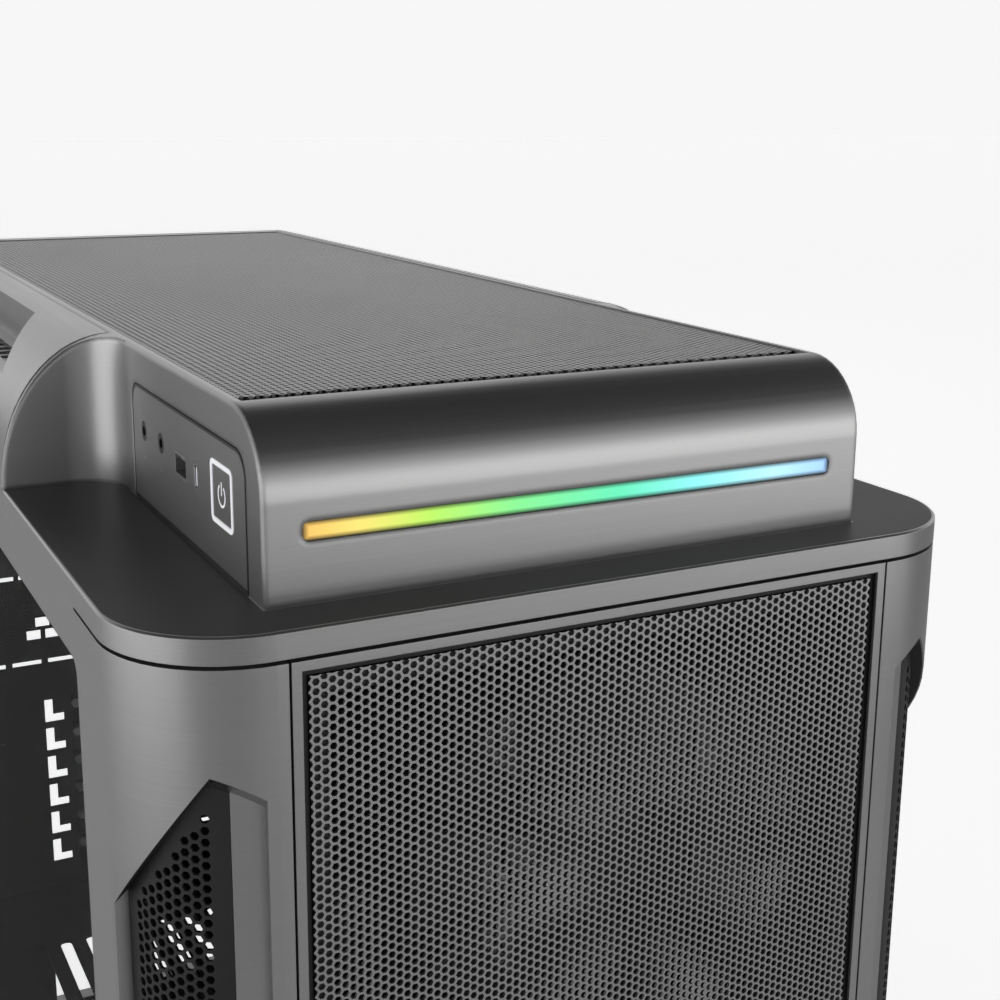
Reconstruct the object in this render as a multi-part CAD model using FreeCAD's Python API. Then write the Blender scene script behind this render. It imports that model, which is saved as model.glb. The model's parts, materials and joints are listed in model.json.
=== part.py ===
import FreeCAD, Part
import math
import os

Vector = FreeCAD.Vector

# Overall form, millimetres. X runs to the right, the front faces -Y, Z is up.
case_width = 300.0
case_depth = 620.0
case_height = 580.0
corner_radius = 40.0
rear_radius = 8.0
edge_break = 0.6

# Raised spine along the middle of the top
shelf_width = 43.0
spine_height = 56.0
spine_setback = 19.0
nose_radius = 25.0
shell_wall = 2.5
spine_rim = 3.0
rim_ledge = 3.0
rim_step = 0.5
rear_rim = 14.0
side_lip = 12.0
tail_lip = 20.0

# Arched cross walls where the side shelves end
shelf_length = 190.0
notch_fillet = 18.0
trim_seam = 0.8

# Deck, side frames and base
deck_thickness = 8.2
deck_overlap = 6.5
deck_ledge = 4.0
inlay_thickness = 1.0
inlay_rim = 1.2
inlay_seam = 0.3
inlay_slack = 0.05
shadow_gap = 1.2
frame_wall = 10.0
shoulder_wall = 4.0
base_thickness = 18.0
base_bar = 39.0
base_bevel = 2.0
grip_size = (80.0, 12.0)
grip_roof = 3.0
foot_height = 22.0
foot_size = (34.0, 60.0)
foot_inset = (21.0, 62.0)
foot_corner = 12.0
foot_bevel = 4.0
pad_height = 3.0
pad_margin = 7.0

# Recess round each front corner: two sloping roof planes, a tab and a mesh insert
recess_depth = 4.4
recess_peak = 40.9
recess_peak_place = 11.7
recess_front_run = 1.08
recess_side_rise = 1.31
recess_bottom = 96.0
recess_clear = 3.0
recess_end_angle = 5.5
tab_angle = 20.8
insert_plate = 1.2
insert_lining = 2.0
insert_slack = 0.3
insert_sink = 0.6
insert_border = 6.0
insert_gap = 0.4
lining_angle = 2.0
window_angle = 6.0
insert_hole = (4.6, 11.0)
insert_pitch = (10.5, 14.0)
insert_columns = 5

# Notch in each shoulder
step_wall = 12.0
step_floor = 36.0
step_front = 275.0
step_rear = 510.0
step_slant = 57.0
step_liner = 2.5
grille_seat = 2.0
grille_hole = (7.0, 8.0)
grille_pitch = 12.0
grille_border = 6.0
grille_line = 9.0

# Side doors
opening_front = 71.0
opening_rear = 55.0
opening_drop = 26.0
sill_height = 22.0
opening_radius = 6.0
door_gap = 1.2
glass_thickness = 4.0
glass_inset = 0.4
hinge_pin_radius = 2.5
hinge_running_gap = 0.06
hinge_block = (16.0, 18.0)
hinge_clamp = (4.0, 14.0)
hinge_setback = 9.8
hinge_glass_tail = 7.5
hinge_axis_depth = 5.5
hinge_pin_length = 8.0
stop_width = 8.0
stop_gap = 0.4
stop_margin = 20.0
magnet_radius = 4.0
magnet_length = 3.0
magnet_margin = 60.0
scoop_radius = 24.0
scoop_depth = 4.5

# Front panel and meshes
panel_setback = 1.1
panel_gap = 0.8
panel_depth = 8.0
panel_border = 3.0
panel_lip = 1.2
panel_seat = 1.4
panel_back = 10.0
mesh_thickness = 1.2
mesh_slack = 0.2
mesh_margin = 8.0
mesh_web = 4.0
front_mesh_cells = (8, 14)
top_mesh_cells = (7, 16)
clip_radius = 3.0
clip_margin = 30.0

# Light bar on the nose
bar_margin = 11.8
bar_height = 6.1
bar_rise = 21.6
bar_corner = 2.5
bar_recess = 0.5
bar_slack = 0.2
strip_margin = 3.0
strip_thickness = 1.6

# Port panel on the left wall of the spine; places are (from the nose, above the deck)
port_front = 13.5
port_rear = 144.0
port_height = 43.0
port_corner = 8.0
button_size = (21.4, 20.0)
button_place = (37.4, 24.8)
ring_width = 1.4
ring_proud = 0.2
button_corner = 2.4
button_gap = 0.35
button_depth = 5.5
button_travel = 1.5
switch_size = 7.0
usb_c_place = (64.6, 24.7)
usb_c_size = (4.8, 9.4)
usb_c_mouth = (2.8, 7.4)
usb_c_tongue = (0.8, 5.6)
usb_a_place = (82.1, 24.4)
usb_a_size = (13.4, 8.6)
usb_a_mouth = (12.0, 6.4)
usb_a_tongue = 1.6
usb_corner = 1.0
usb_back = 1.5
jack_places = (106.1, 128.3)
jack_rise = 27.0
jack_radius = 3.6
jack_bore = 1.8
jack_depth = 9.0
port_fit = 0.05
board_depth = 10.5
board_thickness = 1.6
board_margin = (8.0, 5.0)

# Steelwork
sheet = 1.2
rear_recess = 25.0
top_drop = 19.0
bracket_seat = 3.0
bracket_slot = (12.0, 60.0)
bracket_slot_inset = 18.0
bracket_slot_pitch = 100.0
chamber_width = 212.0
tray_front = 45.0
tray_slot = (40.0, 11.0)
tray_slot_pitch = 62.0
tray_slot_count = 4
tray_slot_first = 266.0
cooler_cut = (130.0, 110.0)
cooler_place = (93.8, 72.0)
shroud_height = 140.0
shroud_front = 85.0
shroud_side = 5.0
shroud_slot = (7.0, 120.0)
shroud_slot_pitch = 16.0
shroud_slot_count = 9
shroud_slot_place = (39.0, 133.8)
shroud_window = (120.0, 40.0)
shroud_window_place = (95.0, 50.0)
pan_slot = (120.0, 9.0)
pan_slot_pitch = 17.0
pan_slot_count = 12
pan_slot_first = 235.0

# Fans
front_fan_size = 140.0
front_fan_holes = 124.5
front_fan_gap = 19.8
rear_fan_size = 120.0
rear_fan_holes = 105.0
rear_fan_side = 92.0
rear_fan_drop = 73.0
top_fan_first = 75.0
top_fan_pitch = 122.0
top_fan_slot = (12.0, 4.4)
top_slot = (24.0, 52.0)
top_slot_first = 60.0
top_slot_inset = 32.0
top_slot_pitch = 66.0
fan_depth = 25.0
fan_rim = 4.0
fan_flange = 5.0
fan_barrel = 2.5
fan_corner = 7.0
fan_tip_gap = 1.6
fan_blades = 7
blade_thickness = 1.8
blade_span = 13.0
blade_pitch = (52.0, 28.0)
fan_arm = (5.0, 3.0)
fan_hole_radius = 2.2
front_hub = 22.0
rear_hub = 20.0
hub_cup = 2.0
hub_gap = 0.8

# Board pattern and rear openings
board_drop = 60.0
standoff_height = 6.35
standoff_radius = 3.0
standoff_bore = 1.45
standoff_bore_depth = 5.0
standoff_edge = 10.16
standoff_rear = 2.0
standoff_columns = (0.0, 157.48, 227.33)
standoff_rows = (0.0, 124.46, 281.94)
io_cutout = (44.45, 158.75)
io_edge = 5.0
slot_pitch = 20.32
slot_drop = 177.0
slot_clear = 20.0
slot_length = 100.0
slot_setback = 9.0
slot_height = 13.0
cover_margin = 2.6
cover_thickness = 1.0
cover_slit = (9.0, 3.0)
cover_slit_pitch = 16.0
cover_ear = (6.8, 8.8)
cover_screw = (3.8, 3.4)
upright_screw = 4.5
hook_setback = 24.0
hook_size = (12.5, 16.0)
hook_width = 5.4
upright_side = 43.0
upright_rise = 11.0
upright_length = 90.0
screw_radius = 1.6
screw_head = (2.9, 2.2)
screw_fit = 0.1
screw_slot = (0.8, 4.0)
psu_cutout = (150.0, 86.0)
psu_rise = 8.0
slit_size = (18.6, 3.0)
slit_pitch = 22.9
slit_place = (37.4, 143.0)
small_window = (9.0, 6.4)
small_window_spots = ((81.0, 114.0), (87.0, 122.5), (75.0, 122.5), (60.0, 80.5), (72.0, 80.5))
vent_size = (40.0, 8.0)
vent_pitch = 34.0
vent_rise = 25.0
vent_clear = 60.0
grille_rings = ((18.0, 30.0), (33.0, 44.0), (47.0, 57.0))
grille_bar = 4.0

# Cable holes and drive trays
grommet_size = (30.0, 76.0)
grommet_fit = 0.05
grommet_wall = (6.0, 8.0)
grommet_lip = 3.0
grommet_flange = 2.0
grommet_corner = 8.0
grommet_setback = 149.0
grommet_rise = 65.0
grommet_pitch = 100.0
grommet_clear = 40.0
drive_size = (104.0, 76.0)
drive_depth = 10.0
drive_wall = 1.5
drive_window = (60.0, 36.0)
drive_setback = 325.0
drive_rise = 90.0
drive_pitch = 100.0
drive_count = 2

# Bottom filter
filter_width = 160.0
filter_length = 250.0
filter_thickness = 4.0
filter_gap = 0.5
filter_inset = 2.0
filter_bar = 8.0
filter_window = 17.0
filter_pitch = 22.0
filter_pull = (72.0, 4.0)
filter_clear = 6.0
rail_wall = 2.0
rail_shelf = 6.0

# Values that follow from the ones above
half_width = case_width / 2
front_y = -case_depth / 2
rear_y = case_depth / 2
deck_z = case_height - spine_height
deck_under = deck_z - deck_thickness
pillar_top = deck_under - shadow_gap
base_top = foot_height + base_thickness
spine_half = half_width - shelf_width
spine_y = front_y + spine_setback
notch_y = front_y + shelf_length
bar_length = 2 * (spine_half - bar_margin)
panel_half = spine_half - panel_setback
inner_x = half_width - frame_wall
rear_face = rear_y - rear_recess
rear_inner = rear_face - sheet
top_z = deck_z - top_drop
pan_top = base_top + sheet
bracket_y = front_y + frame_wall
opening_y0 = front_y + opening_front
opening_y1 = rear_y - opening_rear
opening_z0 = base_top + sill_height
opening_z1 = deck_z - opening_drop
glass_x0 = -half_width + glass_inset
glass_x1 = glass_x0 + glass_thickness
hinge_x = -half_width + hinge_axis_depth
hinge_y = opening_y1 - hinge_setback
corner_x = -half_width + corner_radius
corner_y = front_y + corner_radius
recess_floor = corner_radius - recess_depth
recess_peak_depth = math.sqrt(2) * corner_radius - math.sqrt(corner_radius ** 2 - recess_peak_place ** 2)
recess_middle = (deck_z - recess_peak + recess_bottom) / 2
tray_x = -half_width + chamber_width
front_fan_top = deck_under - front_fan_gap
front_fan_count = int((front_fan_top - pan_top) // front_fan_size)
rear_fan_place = (-half_width + rear_fan_side, top_z - rear_fan_drop)
top_fan_count = int((rear_y - notch_y - rear_fan_size / 2) // top_fan_pitch)
board_top = top_z - board_drop
slot_x1 = tray_x - slot_setback
slot_x0 = slot_x1 - slot_length
slot_first = board_top - slot_drop
slot_count = 1 + int((slot_first - shroud_height - slot_clear) // slot_pitch)
upright_slots = (-half_width + upright_side, -half_width + upright_side - slot_pitch)
upright_z0 = shroud_height + upright_rise
upright_z1 = upright_z0 + upright_length
filter_z = foot_height + filter_clear


def box(x0, x1, y0, y1, z0, z1):
    return Part.makeBox(x1 - x0, y1 - y0, z1 - z0, Vector(x0, y0, z0))


def rod(radius, length, start, direction):
    return Part.makeCylinder(radius, length, Vector(*start), Vector(*direction))


def join(shapes):
    first = shapes[0]
    rest = shapes[1:]
    return first.fuse(rest).removeSplitter() if rest else first


def prism(points, direction):
    wire = Part.makePolygon([Vector(*p) for p in points + points[:1]])
    return Part.Face(wire).extrude(Vector(*direction))


def lines(points):
    return [Part.makeLine(Vector(*a), Vector(*b)) for a, b in zip(points, points[1:])]


def arc(points):
    return Part.Arc(*[Vector(*p) for p in points]).toShape()


def rounded(width, height, radius):
    # Rounded rectangle in the plane Z = 0, centred, as a face
    w = width / 2
    h = height / 2
    r = min(radius, w - 0.01, h - 0.01)
    k = r * (1 - math.sqrt(0.5))
    corners = (
        ((w - r, -h), (w - k, -h + k), (w, -h + r)),
        ((w, h - r), (w - k, h - k), (w - r, h)),
        ((-w + r, h), (-w + k, h - k), (-w, h - r)),
        ((-w, -h + r), (-w + k, -h + k), (-w + r, -h)),
    )
    edges = []
    last = Vector(-w + r, -h, 0)
    for a, b, c in corners:
        edges.append(Part.makeLine(last, Vector(a[0], a[1], 0)))
        edges.append(Part.Arc(Vector(*a, 0), Vector(*b, 0), Vector(*c, 0)).toShape())
        last = Vector(c[0], c[1], 0)
    return Part.Face(Part.Wire(edges))


def rounded_z(width, depth, radius, centre, z0, z1):
    face = rounded(width, depth, radius)
    face.translate(Vector(centre[0], centre[1], z0))
    return face.extrude(Vector(0, 0, z1 - z0))


def rounded_x(y_size, z_size, radius, centre, x0, x1):
    # Rounded block along X: centre is (y, z)
    face = rounded(y_size, z_size, radius)
    face.rotate(Vector(0, 0, 0), Vector(1, 1, 1), 120)
    face.translate(Vector(x0, centre[0], centre[1]))
    return face.extrude(Vector(x1 - x0, 0, 0))


def rounded_y(x_size, z_size, radius, centre, y0, y1):
    # Rounded block along Y: centre is (x, z)
    face = rounded(x_size, z_size, radius)
    face.rotate(Vector(0, 0, 0), Vector(1, 0, 0), 90)
    face.translate(Vector(centre[0], y0, centre[1]))
    return face.extrude(Vector(0, y1 - y0, 0))


def mirrored(shape):
    return shape.mirror(Vector(0, 0, 0), Vector(1, 0, 0))


def hole_square(spacing):
    a = spacing / 2
    return [(x, z) for x in (-a, a) for z in (-a, a)]


def plan(z0, z1, inset=0.0):
    # Outline of the case in plan: large front corners, small rear ones
    w = half_width - inset
    r = corner_radius - inset
    q = max(rear_radius - inset, 0.5)
    y0 = front_y + inset
    y1 = rear_y - inset
    body = box(-w, w, y0, y1, z0, z1)
    for side in (-1, 1):
        for radius, y, inward in ((r, y0, 1), (q, y1, -1)):
            x = side * w
            ex = x - side * radius
            ey = y + inward * radius
            corner = box(min(x, ex), max(x, ex), min(y, ey), max(y, ey), z0, z1)
            corner = corner.cut(rod(radius, z1 - z0, (ex, ey, z0), (0, 0, 1)))
            body = body.cut(corner)
    return body


def level_edges(body, z):
    # Edges that lie flat at one height
    return [e for e in body.Edges if abs(e.BoundBox.ZMin - z) < 0.01 and abs(e.BoundBox.ZMax - z) < 0.01]


def quarter(x_edge, reach, height, y0, y1):
    # Solid under a quarter ellipse that falls from x_edge towards the left side
    centre = Vector(x_edge, y0, deck_z)
    top = Vector(x_edge, y0, deck_z + height)
    side = Vector(x_edge - reach, y0, deck_z)
    if height >= reach:
        curve = Part.ArcOfEllipse(Part.Ellipse(top, side, centre), 0, math.pi / 2)
    else:
        curve = Part.ArcOfEllipse(Part.Ellipse(side, top, centre), 0, math.pi / 2)
    edges = [curve.toShape(), Part.makeLine(centre, top), Part.makeLine(centre, side)]
    face = Part.Face(Part.Wire(Part.__sortEdges__(edges)))
    return face.extrude(Vector(0, y1 - y0, 0))


def spine_profile(inset, z0, x_half):
    # Side profile of the spine with its folded nose, swept across X
    x = -x_half
    y0 = spine_y + inset
    y1 = rear_y - inset
    z1 = case_height - inset
    r = nose_radius - inset
    k = r * (1 - math.sqrt(0.5))
    fold = [(x, y0, z1 - r), (x, y0 + k, z1 - k), (x, y0 + r, z1)]
    rest = [fold[2], (x, y1, z1), (x, y1, z0), (x, y0, z0), fold[0]]
    return Part.Face(Part.Wire([arc(fold)] + lines(rest))).extrude(Vector(2 * x_half, 0, 0))


def top_mesh_span():
    return spine_half - spine_rim, spine_y + nose_radius, rear_y - rear_rim


def port_block(margin, x0, x1):
    # Outline of the port panel: square at the deck, rounded at the top
    y0 = spine_y + port_front + margin
    y1 = spine_y + port_rear - margin
    top = deck_z + port_height - margin
    size = (y1 - y0, 2 * (top - deck_z))
    block = rounded_x(size[0], size[1], port_corner - margin, ((y0 + y1) / 2, deck_z), x0, x1)
    return block.common(box(x0, x1, y0 - 1, y1 + 1, deck_z, top + 1))


def port_spot(place):
    # Centre of an item on the port panel, as (y, z)
    return (spine_y + place[0], deck_z + place[1])


def arched_wall():
    # Cross wall that closes the side shelf, with a hollow fillet to the spine wall
    edge = -spine_half + edge_break
    reach = shelf_width + edge_break
    back = notch_y + shell_wall
    wall = quarter(edge, reach, spine_height, notch_y, back)
    x = -spine_half - notch_fillet
    y = notch_y - notch_fillet
    corner = box(x, edge, y, back, deck_z, case_height)
    corner = corner.cut(rod(notch_fillet, spine_height, (x, y, deck_z), (0, 0, 1)))
    return wall.fuse(corner.common(quarter(edge, reach, spine_height, y, back)))


def spine_edges(body):
    # Front and top edges of both side faces of the spine
    found = []
    for edge in body.Edges:
        middle = edge.CenterOfMass
        beside = abs(abs(middle.x) - spine_half) < 0.01
        if beside and middle.z > deck_z + 1 and middle.y < rear_y - 1:
            found.append(edge)
    return found


def spine_shell():
    body = spine_profile(0, deck_z, spine_half)
    body = body.makeChamfer(edge_break, spine_edges(body))
    body = body.cut(spine_profile(shell_wall, deck_z - 1, spine_half - shell_wall))
    half, y0, y1 = top_mesh_span()
    ledge_z = case_height - mesh_thickness - rim_step
    body = body.cut(box(-half, half, y0, y1, ledge_z, case_height + 1))
    half = half - rim_ledge
    body = body.cut(box(-half, half, y0 + rim_ledge, y1 - rim_ledge, deck_z, case_height))
    wall_in = spine_half - shell_wall - 1
    body = body.cut(port_block(0, -spine_half - 1, -wall_in))
    spot = (0, deck_z + bar_rise)
    window = rounded_y(bar_length, bar_height, bar_corner, spot, spine_y - 1, spine_y + shell_wall + 1)
    body = body.cut(window)
    # behind the arched walls only a deep lip remains, so the shoulders share the air space
    back = notch_y + shell_wall
    for side in (-1, 1):
        x = side * (spine_half - shell_wall / 2)
        y1 = rear_y - tail_lip
        body = body.cut(box(x - shell_wall, x + shell_wall, back, y1, deck_z - 1, case_height - side_lip))
    arch = arched_wall()
    tail = box(-spine_half, spine_half, rear_y - shell_wall, rear_y, top_z + sheet, deck_z)
    return join([body, arch, mirrored(arch), tail])


def hex_hole(width, height, centre, axis, start, length):
    # Upright pointed hexagon, swept along one axis
    w = width / 2
    h = height / 2
    ring = ((0, h), (w, h / 2), (w, -h / 2), (0, -h), (-w, -h / 2), (-w, h / 2))
    if axis == "y":
        points = [(centre[0] + a, start, centre[1] + b) for a, b in ring]
        return prism(points, (0, length, 0))
    points = [(centre[0] + a, centre[1] + b, start) for a, b in ring]
    return prism(points, (0, 0, length))


def hex_field(size, cells, axis, start, length, centre):
    # Staggered field of openings with even webs between them
    columns, rows = cells
    px = size[0] / columns
    pz = size[1] / (rows + 0.25)
    holes = []
    for row in range(rows):
        shift = 0.25 * px if row % 2 else -0.25 * px
        for column in range(columns):
            x = centre[0] - size[0] / 2 + px * (column + 0.5) + shift
            z = centre[1] + size[1] / 2 - pz * (row + 0.625)
            holes.append(hex_hole(px - mesh_web, pz * 4 / 3 - mesh_web * 1.3, (x, z), axis, start, length))
    return holes


def top_mesh():
    half, y0, y1 = top_mesh_span()
    s = mesh_slack
    z0 = case_height - mesh_thickness - rim_step
    plate = box(-half + s, half - s, y0 + s, y1 - s, z0, z0 + mesh_thickness)
    size = (2 * (half - mesh_margin), y1 - y0 - 2 * mesh_margin)
    centre = (0, (y0 + y1) / 2)
    return plate.cut(hex_field(size, top_mesh_cells, "z", z0 - 1, mesh_thickness + 2, centre))


def light_bar():
    y0 = spine_y + bar_recess
    s = bar_slack
    spot = (0, deck_z + bar_rise)
    return rounded_y(bar_length - 2 * s, bar_height - 2 * s, bar_corner - s, spot, y0, spine_y + shell_wall)


def light_strip():
    y0 = spine_y + shell_wall
    size = (bar_length + 2 * strip_margin, bar_height + 2 * strip_margin)
    z = deck_z + bar_rise
    return box(-size[0] / 2, size[0] / 2, y0, y0 + strip_thickness, z - size[1] / 2, z + size[1] / 2)


def top_deck():
    keep = box(-half_width, half_width, front_y, notch_y + shell_wall, deck_under, deck_z)
    body = plan(deck_under, deck_z)
    body = body.makeChamfer(edge_break, level_edges(body, deck_z)).common(keep)
    x = spine_half - deck_overlap
    y = spine_y + deck_overlap + deck_ledge
    body = body.cut(box(-x, x, y, rear_y, deck_under - 1, deck_z + 1))
    return body.cut(inlay_field(0.0))


def inlay_field(slack):
    field = plan(deck_z - inlay_thickness, deck_z, inlay_rim + slack)
    field = field.common(box(-half_width, half_width, front_y, notch_y - slack, deck_z - 2, deck_z))
    s = inlay_seam + slack
    spine = box(-spine_half - s, spine_half + s, spine_y - s, rear_y, deck_z - 2, deck_z + 1)
    reach = notch_fillet + s
    corner = box(-spine_half - reach, -spine_half, notch_y - reach, notch_y, deck_z - 2, deck_z + 1)
    return field.cut([spine, corner, mirrored(corner)])


def deck_inlay():
    return inlay_field(inlay_slack)


def facet_point(s, d, z):
    # Point on the left pillar: s along the facet, d inwards from the corner
    x = -half_width + (d + s) / math.sqrt(2)
    y = front_y + (d - s) / math.sqrt(2)
    return (x, y, z)


def polygon(points):
    return Part.makePolygon([Vector(*p) for p in points + points[:1]])


def corner_point(angle, radius, z):
    # Point near the left front corner: the angle counts from the front to the side
    t = math.radians(angle)
    return (corner_x - radius * math.sin(t), corner_y - radius * math.cos(t), z)


def corner_rod(radius):
    return rod(radius, case_height, (corner_x, corner_y, 0), (0, 0, 1))


def corner_wedge(first, last):
    points = [(corner_x, corner_y, 0)]
    points += [corner_point(angle, 2 * corner_radius, 0) for angle in (first, (first + last) / 2, last)]
    return prism(points, (0, 0, case_height))


def roof_height(x, y):
    # Height of the recess roof over a point: the lower of its two planes
    s = (x + half_width - y + front_y) / math.sqrt(2)
    d = (x + half_width + y - front_y) / math.sqrt(2)
    front = -recess_front_run * (d - recess_peak_depth)
    side = recess_side_rise * (s - recess_peak_place)
    return deck_z - recess_peak + min(front, side)


def recess_ring(d, drop):
    # Section of the recess at depth d: a level roof line and a falling one, the same below
    run = recess_front_run * (d - recess_peak_depth)
    roof = deck_z - recess_peak - run - drop
    turn = recess_peak_place - run / recess_side_rise
    side = roof - recess_side_rise * (turn + corner_radius)
    ring = [(corner_radius, roof), (turn, roof), (-corner_radius, side)]
    ring += [(s, 2 * recess_middle - z) for s, z in reversed(ring)]
    return [facet_point(s, d, z) for s, z in ring]


def recess_block(drop, first, last, inner):
    # Part of the recess between two angles and outside an inner radius
    rings = [polygon(recess_ring(d, drop)) for d in (-recess_clear, corner_radius)]
    block = Part.makeLoft(rings, True, True)
    return block.common(corner_wedge(first, last)).cut(corner_rod(inner))


def pillar():
    seam = -panel_half - panel_gap
    z = base_top
    inside = corner_radius - frame_wall
    outer = [corner_point(angle, corner_radius, z) for angle in (0, 45, 90)]
    inner = [corner_point(angle, inside, z) for angle in (90, 45, 0)]
    side = [outer[2], (-half_width, opening_y0, z), (-inner_x, opening_y0, z), inner[0]]
    front = [inner[2], (seam, bracket_y, z), (seam, front_y, z), outer[0]]
    wire = Part.Wire([arc(outer)] + lines(side) + [arc(inner)] + lines(front))
    body = Part.Face(wire).extrude(Vector(0, 0, pillar_top - base_top))
    last = 90 - recess_end_angle
    recess = recess_block(0, recess_end_angle, last, recess_floor)
    seat = recess_block(0, tab_angle, last, recess_floor - insert_plate - insert_slack)
    window = recess_block(insert_border, tab_angle + window_angle, last - window_angle, inside - 1)
    return body.cut([recess, seat, window])


def insert_heights(column, angle):
    # Even rows of holes that stay under the roof planes, staggered from column to column
    x, y, z = corner_point(angle, recess_floor, 0)
    reach = roof_height(x, y) - recess_middle - insert_border - insert_hole[1] / 2
    shift = 0.5 * (column % 2)
    count = int(reach / insert_pitch[1] - shift)
    steps = [i + shift for i in range(count + 1)]
    steps += [-s for s in steps if s > 0]
    return [recess_middle + insert_pitch[1] * s for s in steps]


def pillar_mesh():
    # Curved insert of the recess, lined along the roof planes and pierced between them
    first = tab_angle + insert_gap
    last = 90 - recess_end_angle - insert_gap
    body = recess_block(insert_slack, first, last, recess_floor - insert_plate)
    body = body.common(corner_rod(corner_radius - insert_sink))
    lining = insert_slack + insert_lining
    body = body.cut(recess_block(lining, recess_end_angle, last - lining_angle, recess_floor))
    holes = []
    for column in range(insert_columns):
        angle = (first + last) / 2 + insert_pitch[0] * (column - (insert_columns - 1) / 2)
        for z in insert_heights(column, angle):
            hole = hex_hole(*insert_hole, (0, z), "y", -corner_radius, 2 * recess_depth)
            hole.rotate(Vector(0, 0, 0), Vector(0, 0, 1), -angle)
            hole.translate(Vector(corner_x, corner_y, 0))
            holes.append(hole)
    return body.cut(holes)


def step_ring(inset, z):
    # Plan of the shoulder notch with its slanted ends
    x1 = -spine_half - step_wall - inset
    x0 = -half_width - 1
    run = step_slant * (x1 - x0) / (half_width - spine_half - step_wall)
    y0 = front_y + step_front + inset
    y1 = front_y + step_rear - inset
    return [(x1, y0, z), (x1, y1, z), (x0, y1 + run, z), (x0, y0 - run, z)]


def shoulder():
    x = -spine_half - trim_seam
    reach = half_width + x
    y0 = notch_y + shell_wall + trim_seam
    t = shoulder_wall
    full = quarter(x, reach, spine_height, y0, rear_y)
    hollow = quarter(x + 1, reach - t + 1, spine_height - t, y0 - 1, rear_y - t)
    z = deck_z + step_floor
    step = prism(step_ring(0, z), (0, 0, spine_height))
    liner = prism(step_ring(-step_liner, z - step_liner), (0, 0, spine_height)).common(full)
    body = full.cut(hollow).fuse(liner).cut(step)
    return body.cut(prism(grille_ring(grille_border, z - 2 * step_liner), (0, 0, 4 * step_liner)))


def shoulder_inner(rise):
    # Inner face of the shoulder wall at a height above the deck
    reach = shelf_width - trim_seam - shoulder_wall
    height = spine_height - shoulder_wall
    return -spine_half - trim_seam - reach * math.sqrt(1 - (rise / height) ** 2)


def grille_ring(inset, z):
    ring = step_ring(inset, z)
    x0 = shoulder_inner(step_floor - step_liner) + inset - 3
    slope = step_slant / (half_width - spine_half - step_wall)
    run = slope * (ring[0][0] - x0)
    y0 = ring[0][1]
    y1 = ring[1][1]
    return [ring[0], ring[1], (x0, y1 + run, z), (x0, y0 - run, z)]


def shoulder_grille():
    z = deck_z + step_floor - step_liner - mesh_thickness
    plate = prism(grille_ring(grille_border - grille_seat, z), (0, 0, mesh_thickness))
    count = int((step_rear - step_front) // grille_pitch) - 1
    y_mid = front_y + (step_front + step_rear) / 2
    x = -spine_half - step_wall - grille_line
    holes = []
    for i in range(count):
        y = y_mid + grille_pitch * (i - (count - 1) / 2)
        holes.append(rounded_z(*grille_hole, 2, (x, y), z - 1, z + mesh_thickness + 1))
    return plate.cut(holes)


def side_frame():
    x0 = -half_width
    x1 = -inner_x
    back = notch_y + shell_wall + trim_seam
    plate = box(x0, x1, corner_y, rear_y, base_top, deck_under)
    upper = box(x0, x1, back, rear_y, deck_under, deck_z)
    seam = box(x0 - 1, x1 + 1, front_y, opening_y0, pillar_top, deck_under + 1)
    body = join([plate, upper]).cut(seam)
    y_mid = (opening_y0 + opening_y1) / 2
    z_mid = (opening_z0 + opening_z1) / 2
    size = (opening_y1 - opening_y0, opening_z1 - opening_z0)
    opening = rounded_x(*size, opening_radius, (y_mid, z_mid), x0 - 1, x1 + 1)
    square = box(x0 - 1, x1 + 1, y_mid, opening_y1, opening_z0, opening_z1)
    trim = box(x0 - 1, x0 + rear_radius, rear_y - rear_radius, rear_y + 1, base_top - 1, deck_z)
    trim = trim.cut(rod(rear_radius, deck_z, (x0 + rear_radius, rear_y - rear_radius, 0), (0, 0, 1)))
    column = box(x0 - 1, x1 + 1, corner_y - 1, opening_y0, base_top - 1, deck_under + 1)
    body = body.cut([opening, square, trim, column])
    stop_x = glass_x1 + stop_gap
    z0 = opening_z0 + stop_margin
    stop = box(stop_x, x1, opening_y0 - 1, opening_y0 + stop_width, z0, opening_z1 - stop_margin)
    body = join([body, pillar(), stop, shoulder()])
    for z in magnet_heights():
        body = body.cut(rod(magnet_radius, magnet_length, (stop_x, magnet_y(), z), (1, 0, 0)))
    length = hinge_pin_length + 1
    for z in (opening_z0 - length, opening_z1):
        body = body.cut(rod(hinge_pin_radius + hinge_running_gap, length, (hinge_x, hinge_y, z), (0, 0, 1)))
    # finger scoop beside the glass
    return body.cut(Part.makeSphere(scoop_radius, Vector(x0 - scoop_radius + scoop_depth, opening_y0, z_mid)))


def magnet_heights():
    return opening_z0 + magnet_margin, opening_z1 - magnet_margin


def magnet_y():
    return opening_y0 + stop_width / 2


def door_magnets():
    x = glass_x1 + stop_gap
    left = [rod(magnet_radius, magnet_length, (x, magnet_y(), z), (1, 0, 0)) for z in magnet_heights()]
    return Part.makeCompound(left + [mirrored(m) for m in left])


def door_glass():
    y0 = opening_y0 + door_gap
    y1 = hinge_y + hinge_glass_tail
    z0 = opening_z0 + door_gap
    z1 = opening_z1 - door_gap
    spot = ((y0 + y1) / 2, (z0 + z1) / 2)
    body = rounded_x(y1 - y0, z1 - z0, opening_radius - door_gap, spot, glass_x0, glass_x1)
    for a, b in ((z0 - 1, z0 + hinge_block[1]), (z1 - hinge_block[1], z1 + 1)):
        body = body.cut(box(glass_x0 - 1, glass_x1 + 1, y1 - hinge_block[0], y1 + 1, a, b))
    return body


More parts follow.
